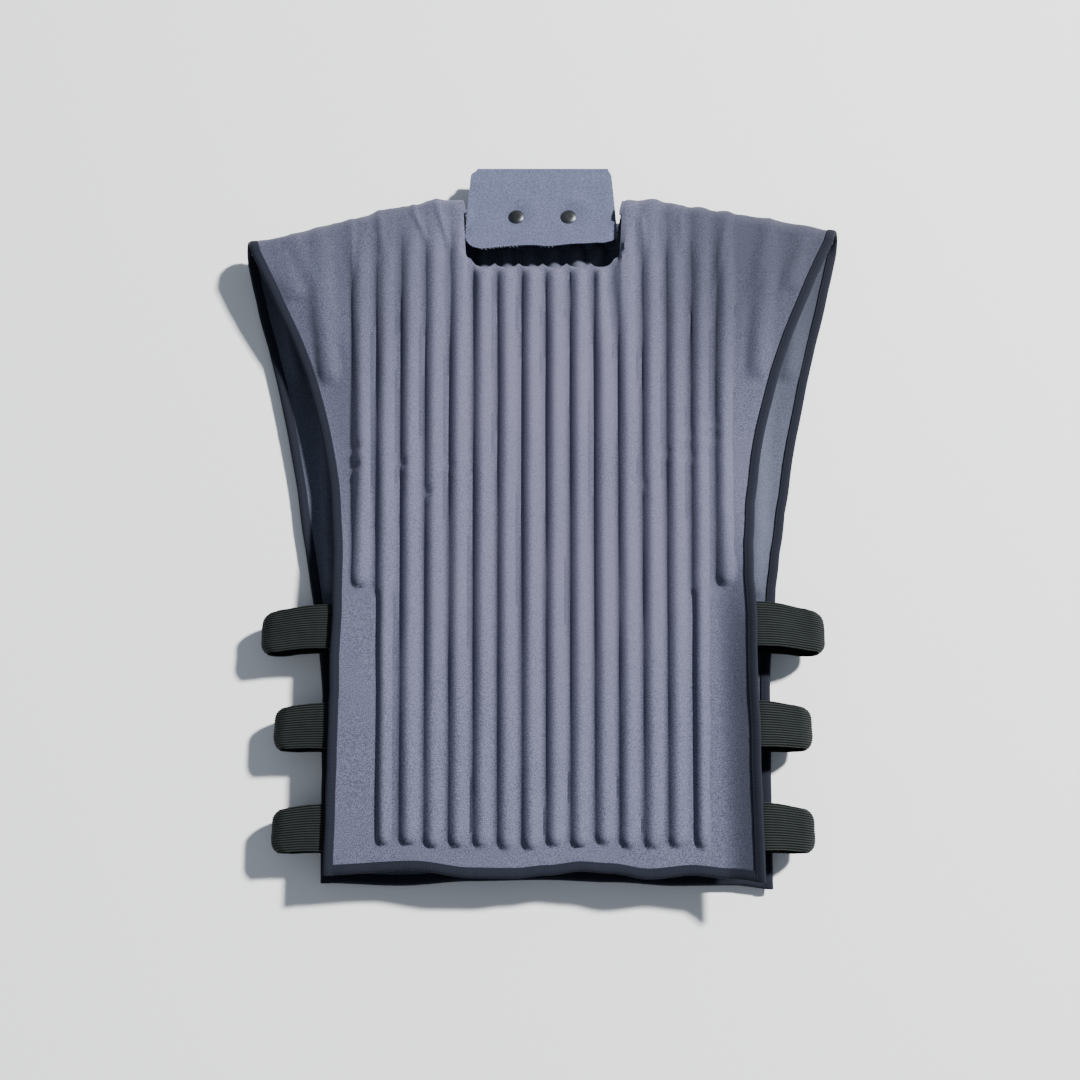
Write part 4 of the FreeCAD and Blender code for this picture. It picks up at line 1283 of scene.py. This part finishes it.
def thread_material(name, dark, light):
    """Twisted thread: a fast noise for the strands."""
    material, tree, shader, vector = start_material(name, 0.6, 0.2)
    strands = noise_node(tree, vector, 2600.0, 2.0, 0.5)
    base = mix_colour(tree, strands, dark, light)
    finish_material(tree, shader, base, strands, 0.3, 0.0001, strands, 0.5, 0.75)
    return material


tape_thread = thread_material("tape_thread", (0.09, 0.095, 0.11), (0.30, 0.31, 0.35))
fibre = thread_material("cut_fibre", (0.35, 0.37, 0.42), (0.62, 0.64, 0.70))

# %% Metals
def metal_material(name, dark, light, metallic, low, high):
    """Pressed metal with fine scratches and handled, duller places."""
    material, tree, shader, vector = start_material(name, 0.35, 0.0, metallic=metallic)
    scratch = noise_node(tree, vector, 1800.0, 4.0, 0.7)
    wear_out = place_group(tree, wear, vector, Amount=1.2)
    base = mix_colour(tree, wear_out["Mask"], dark, light)
    finish_material(tree, shader, base, scratch, 0.12, 0.00008, wear_out["Mask"], low, high)
    return material


cap_metal = metal_material("snap_cap_gunmetal", (0.03, 0.032, 0.035), (0.09, 0.095, 0.10),
                           0.85, 0.34, 0.5)
brass = metal_material("snap_brass", (0.42, 0.28, 0.10), (0.62, 0.44, 0.20), 1.0, 0.25, 0.45)
print("materials", [m.name for m in bpy.data.materials])

# %% [markdown]
# ## What each piece is, and what it moves with
# The CAD pieces that the new pieces stand for are hidden. The pieces of each panel ride on that
# panel's body of the frame, and the snap caps and the fibres on the collar flap's. The pieces
# that cross a joint and the collar's cloth stay fixed where they are made.

# %% Finish and body of every panel piece, with its CAD pieces hidden
def give(piece, material):
    piece.data.materials.clear()
    piece.data.materials.append(material)


CORES = ["_tube_core_%02d" % k for k in range(1, 17)] + ["_wing_cores"]
for name, outer, inner, stuffing in (("front", front_outer, front_inner, front_padding),
                                     ("rear", rear_outer, rear_inner, rear_padding)):
    body = name + "_panel"
    for piece, word in ((outer, "outer"), (inner, "inner")):
        give(piece, outer_cloth if word == "outer" else shaded_lining_cloth)
        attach(piece, body)
        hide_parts(name + "_" + word + "_ply")
    give(stuffing, foam)
    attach(stuffing, body)
    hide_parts(*[name + core for core in CORES])
    for word in ("left", "right"):
        give(tapes[name, word], tape_dark)
        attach(tapes[name, word], body)
        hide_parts(name + "_binding_" + word)
    give(hem_tapes[name], tape_dark)
    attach(hem_tapes[name], body)
    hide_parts("hem_binding_" + name)
    give(tape_threads[name], tape_thread)
    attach(tape_threads[name], body)

# %% Pieces that cross from the rear panel to the front panel
for word in ("left", "right"):
    give(folds[word], outer_cloth)
    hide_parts("shoulder_fold_" + word)
    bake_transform(folds[word])
    give(shoulder_tapes[word], tape_dark)
    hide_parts("shoulder_binding_" + word)
    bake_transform(shoulder_tapes[word])
    for place_name in LOOPS:
        band = elastics[word, place_name]
        give(band, elastic_black)
        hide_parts("side_strap_" + word + "_" + place_name)
        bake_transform(band)

# %% The collar and the snaps
give(collar_piece, collar_cloth)
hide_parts("collar_stand", "collar_flap")
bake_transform(collar_piece)
give(fibres, fibre)
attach(fibres, "collar_flap_body")
give(caps, cap_metal)
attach(caps, "collar_flap_body")
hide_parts("snap_caps")
for node_name in ("snap_sockets", "snap_studs", "snap_posts"):
    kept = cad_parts[node_name]
    kept.data.materials.clear()
    kept.data.materials.append(brass)
print("pieces placed")

# %% [markdown]
# ## Floor, light and camera
# The vest lies on a plain pale floor. The key light is high and far to the upper right, so
# its shadows are fairly crisp; a very weak fill and a bluish sky light the other side. The
# camera looks down from the hem's side.

# %% Floor
deselect()
bpy.ops.mesh.primitive_plane_add(size=9)
floor = bpy.context.object
floor.name = "studio_floor"
floor.location = (0, 0, -0.0004)
floor_paint = bpy.data.materials.new("studio_floor_paint")
floor_paint.use_nodes = True
floor_shader = floor_paint.node_tree.nodes["Principled BSDF"]
floor_shader.inputs["Base Color"].default_value = (0.93, 0.93, 0.93, 1)
floor_shader.inputs["Roughness"].default_value = 0.9
floor.data.materials.append(floor_paint)


# %% Lights
def soft_light(name, place, size, energy):
    """A square area light that looks at the middle of the vest."""
    lamp = bpy.data.lights.new(name, "AREA")
    lamp.shape = "SQUARE"
    lamp.size = size
    lamp.energy = energy
    holder = bpy.data.objects.new(name, lamp)
    holder.location = place
    holder.rotation_euler = (-Vector(place)).to_track_quat("-Z", "Y").to_euler()
    bpy.context.collection.objects.link(holder)


soft_light("key_light", (4.1, 2.4, 4.4), 0.5, 1220)
soft_light("fill_light", (-1.2, -1.2, 1.9), 1.6, 3)
world = bpy.data.worlds.new("studio")
bpy.context.scene.world = world
world.use_nodes = True
world.node_tree.nodes["Background"].inputs["Color"].default_value = (0.74, 0.84, 1, 1)
world.node_tree.nodes["Background"].inputs["Strength"].default_value = 0.29

# %% Camera
lens = bpy.data.cameras.new("camera")
lens.lens = 49
lens.sensor_width = 36
camera = bpy.data.objects.new("camera", lens)
camera.location = (-0.0025, HEM / 1000 - 0.068, 1.273)
camera.rotation_euler = (math.radians(16), 0, 0)
bpy.context.collection.objects.link(camera)
bpy.context.scene.camera = camera
